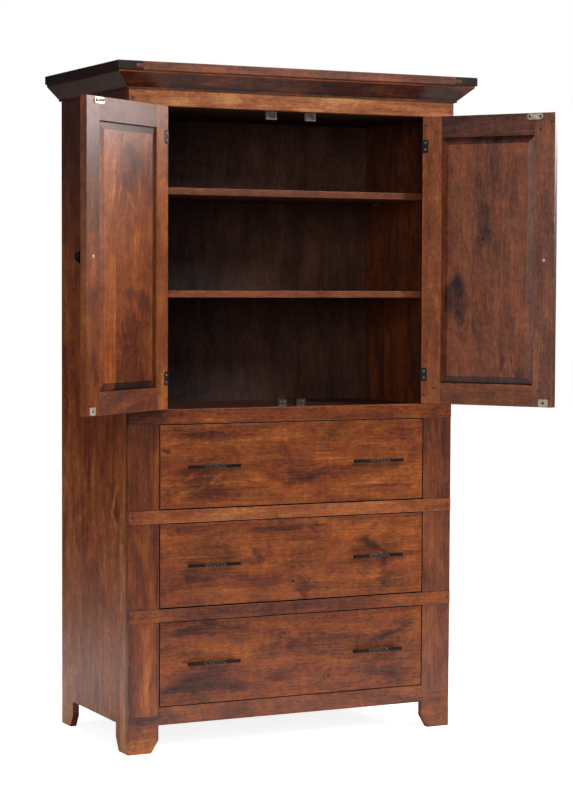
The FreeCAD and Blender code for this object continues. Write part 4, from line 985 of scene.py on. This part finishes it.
def make_hinge_leaves(side, iron):
    """The leaves on a door: round-cornered wraps with domed screws, edge plates and middle knuckles."""
    bm = bmesh.new()
    steel = bm.verts.layers.float.new(MARKED_LAYER)
    sign = DOOR_SIGN[side]
    near, far = LEAF_NEAR - LEAF_THICK, LEAF_NEAR + WRAP_WIDE
    deep = DOOR_INNER - DOOR_FACE
    half = KNUCKLE_TALL / 2
    bore, outside = KNUCKLE_BORE, KNUCKLE_RADIUS
    ring = ((bore, -half), (outside, -half), (outside, half), (bore, half), (bore, -half))
    for z in HINGE_LEVELS:
        wrap = (sign * (near + far) / 2, DOOR_INNER + LEAF_THICK / 2, z)
        add_plate(bm, wrap, (far - near, LEAF_THICK, LEAF_TALL), LEAF_ROUND, lambda x: abs(x) > far / 2)
        edge = (sign * (near + LEAF_THICK / 2), DOOR_FACE + deep / 2, z)
        add_plate(bm, edge, (LEAF_THICK, deep, LEAF_TALL), EDGE_EASE)
        neck = (sign * (near + LEAF_THICK / 2), DOOR_FACE / 2, z)
        add_plate(bm, neck, (LEAF_THICK, DOOR_FACE, KNUCKLE_TALL), EDGE_EASE)
        turned(bm, ring, (0, 0, z), SMALL_TURN_STEPS, (0, 0, 1))
        for step in (-SCREW_SPACING / 2, SCREW_SPACING / 2):
            spot = (sign * (LEAF_NEAR + WRAP_WIDE / 2), DOOR_INNER + LEAF_THICK, z + step)
            add_screw(bm, DOME_SCREW, spot, steel, DOME_REACH)
    finish_on_door(bm, "round_cornered_leaves", iron, side, (f"{side}_door_hinge_leaves",))


def add_spear(bm, along, z):
    """A spear that stands out from the door and narrows to its tip."""
    before = set(bm.verts)
    middle = DOOR_INNER + SPEAR[1] / 2
    add_plate(bm, (along, middle, z), SPEAR, SPEAR_CORNER)
    tip = [vert for vert in bm.verts if vert not in before and vert.co.y > middle]
    about = Matrix.Translation((-along, -DOOR_INNER, -z))
    bmesh.ops.scale(bm, vec=SPEAR_POINT, space=about, verts=tip)


def make_strikes(side, nickel):
    """A door's strike plates: one with rounded ends and a spear at the top, a square one at the foot."""
    bm = bmesh.new()
    recess_shade_layer = bm.verts.layers.float.new(MARKED_LAYER)
    for along, z, wide, tall, thick, corner, screws, spear in STRIKES:
        along *= DOOR_SIGN[side]
        add_plate(bm, (along, DOOR_INNER + thick / 2, z), (wide, thick, tall), corner)
        for step in screws:
            # Sunk screws, with painted shade in their recesses.
            add_screw(bm, SUNK_SCREW, (along + step, DOOR_INNER + thick, z), recess_shade_layer, RECESS_SHADE_REACH)
        if spear:
            add_spear(bm, along, z)
    finish_on_door(bm, "strike_plates", nickel, side, (f"{side}_door_strikes",))


def make_door_fittings():
    iron = metal("hinge_iron", marked_colour=HINGE_SCREW, **HINGE_METAL)
    # Painted shade in the strike screws' recesses, which are matt.
    shaded_recesses = {"marked_colour": RECESS_SHADE_COLOUR, "matt": True}
    nickel = metal("strike_nickel", PALE_NICKEL, roughness=(0.34, 0.48), mottle=60, metallic=0.8, **shaded_recesses)
    for side in DOOR_SIGN:
        make_hinge_leaves(side, iron)
        make_strikes(side, nickel)


# The camera, as worked out from the photograph's lines.
PHOTO_HIGH = 800
FOCAL_PIXELS = 2229.51
SENSOR = 24.0
EYE = (-2.9221, -6.1601, 1.3579)
YAW, PITCH, ROLL = math.radians(26.162), math.radians(3.001), math.radians(0.251)
INTO_VIEW = (math.sin(YAW), math.cos(YAW), 0)
ACROSS_VIEW = (math.cos(YAW), -math.sin(YAW), 0)


def make_camera():
    ahead, across, up = Vector(INTO_VIEW), Vector(ACROSS_VIEW), Vector((0, 0, 1))
    look = ahead * math.cos(PITCH) - up * math.sin(PITCH)
    tilt = up * math.cos(PITCH) + ahead * math.sin(PITCH)
    right = across * math.cos(ROLL) + tilt * math.sin(ROLL)
    top = tilt * math.cos(ROLL) - across * math.sin(ROLL)
    data = bpy.data.cameras.new("camera")
    data.sensor_fit = "VERTICAL"
    data.sensor_height = SENSOR
    data.lens = FOCAL_PIXELS / PHOTO_HIGH * SENSOR
    camera = put("camera", data)
    turn = Matrix((right, top, -look)).transposed().to_4x4()
    camera.matrix_world = Matrix.Translation(EYE) @ turn
    bpy.context.scene.camera = camera


# The room: its even light, and what a gloss sees of it in front of the object and straight behind.
WHITE = (1, 1, 1, 1)
ROOM_LIGHT = 0.05
ROOM_GLOSS = 0.02
ROOM_BEHIND = (0.85, 0.97)
# The floor: its shade near the object and far off, its glow, and the part of it that a gloss sees.
FLOOR_SIZE = 60.0
FLOOR_ROUGH = 0.9
FLOOR_NEAR = (0.86, 0.86, 0.86, 1)
FLOOR_FAR = (0.12, 0.12, 0.12, 1)
FLOOR_FADE = (1.2, 2.8)
GLOW_FADE = (0.9, 2.6)
GLOW_NEAR = 0.87
SWEEP_SHINE = 0.19
SWEEP_EDGE = (2.4, 3.6)
SWEEP_BEHIND = (-0.5, 1.5)


def show_white(bench, shine):
    """1 for what the camera sees straight or through glass, and a shine level for what is seen in a gloss."""
    ray = bench.add("ShaderNodeLightPath").outputs
    seen = bench.maths("MAXIMUM", ray["Is Camera Ray"], ray["Is Transmission Ray"])
    return bench.maths("MAXIMUM", seen, bench.times(ray["Is Glossy Ray"], shine))


def make_floor():
    """A white floor that keeps a soft shadow near the object and fades to pure white."""
    material, bench, shader = new_material("white_floor")
    where = bench.coordinates("Object")
    reach = bench.vectors("LENGTH", where)
    aside = bench.vectors("DOT_PRODUCT", where, ACROSS_VIEW)
    behind = bench.vectors("DOT_PRODUCT", where, INTO_VIEW)
    sweep = bench.fade(bench.maths("ABSOLUTE", aside), *SWEEP_EDGE, SWEEP_SHINE, 0.0)
    shine = bench.times(sweep, bench.fade(behind, *SWEEP_BEHIND))
    glow = bench.fade(reach, *GLOW_FADE, GLOW_NEAR, 1.0)
    shade = bench.ramp(bench.fade(reach, *FLOOR_FADE), ((0.0, FLOOR_NEAR), (1.0, FLOOR_FAR)))
    light = bench.times(glow, show_white(bench, shine))
    wants = {"Base Color": shade, "Roughness": FLOOR_ROUGH, "Specular IOR Level": 0.0}
    bench.fill(shader, {**wants, "Emission Color": WHITE, "Emission Strength": light})
    bm = bmesh.new()
    bmesh.ops.create_grid(bm, x_segments=1, y_segments=1, size=FLOOR_SIZE / 2)
    floor = put_mesh(bm, "floor", material)


def make_room():
    """White to the camera; in a gloss, white behind the object and dim elsewhere; a little even light."""
    world = bpy.data.worlds.new("studio")
    bpy.context.scene.world = world
    world.use_nodes = True
    bench = Bench(world.node_tree)
    way = bench.coordinates("Generated")
    behind = bench.vectors("DOT_PRODUCT", way, INTO_VIEW)
    shine = bench.fade(behind, *ROOM_BEHIND, ROOM_GLOSS, 1.0)
    level = bench.maths("MAXIMUM", show_white(bench, shine), ROOM_LIGHT)
    bench.fill(world.node_tree.nodes["Background"], {"Color": WHITE, "Strength": level})


# Softboxes: place, target, width, height and watts.
SOFTBOXES = {
    "overhead": ((-0.3, -0.8, 6.5), (-0.3, -0.8, 0), 2.6, 2.6, 300),
    "right_key": ((5.2, -3.0, 3.0), (0, 0, 1.1), 2.4, 2.4, 105),
    "front_key": ((2.6, -5.4, 4.2), (0, 0, 1.3), 1.3, 1.3, 126),
    "camera_fill": ((-3.2, -5.9, 2.3), (0, 0, 1.0), 2.0, 2.0, 95),
    "right_sheen": ((4.6, -0.35, 2.85), (0, -0.2, 2.85), 2.4, 1.6, 185),
    "left_card": ((-4.5, -2.0, 1.45), (0.3, -0.45, 1.45), 3.4, 2.2, 16),
}


def add_softbox(name, place, target, width, height, watts):
    """A rectangular studio light that the camera doesn't see."""
    light = bpy.data.lights.new(name, "AREA")
    light.shape = "RECTANGLE"
    light.size, light.size_y = width, height
    light.energy = watts
    lamp = put(name, light)
    lamp.visible_camera = False
    aim = (Vector(target) - Vector(place)).to_track_quat("-Z", "Y")
    lamp.matrix_world = Matrix.Translation(place) @ aim.to_matrix().to_4x4()


def make_lights():
    for name, softbox in SOFTBOXES.items():
        add_softbox(name, *softbox)


bpy.context.scene.view_settings.view_transform = "Standard"
make_camera()
make_room()
make_floor()
make_lights()
dress_boards()
dress_fittings()
make_all_pulls()
make_knobs()
make_door_fittings()
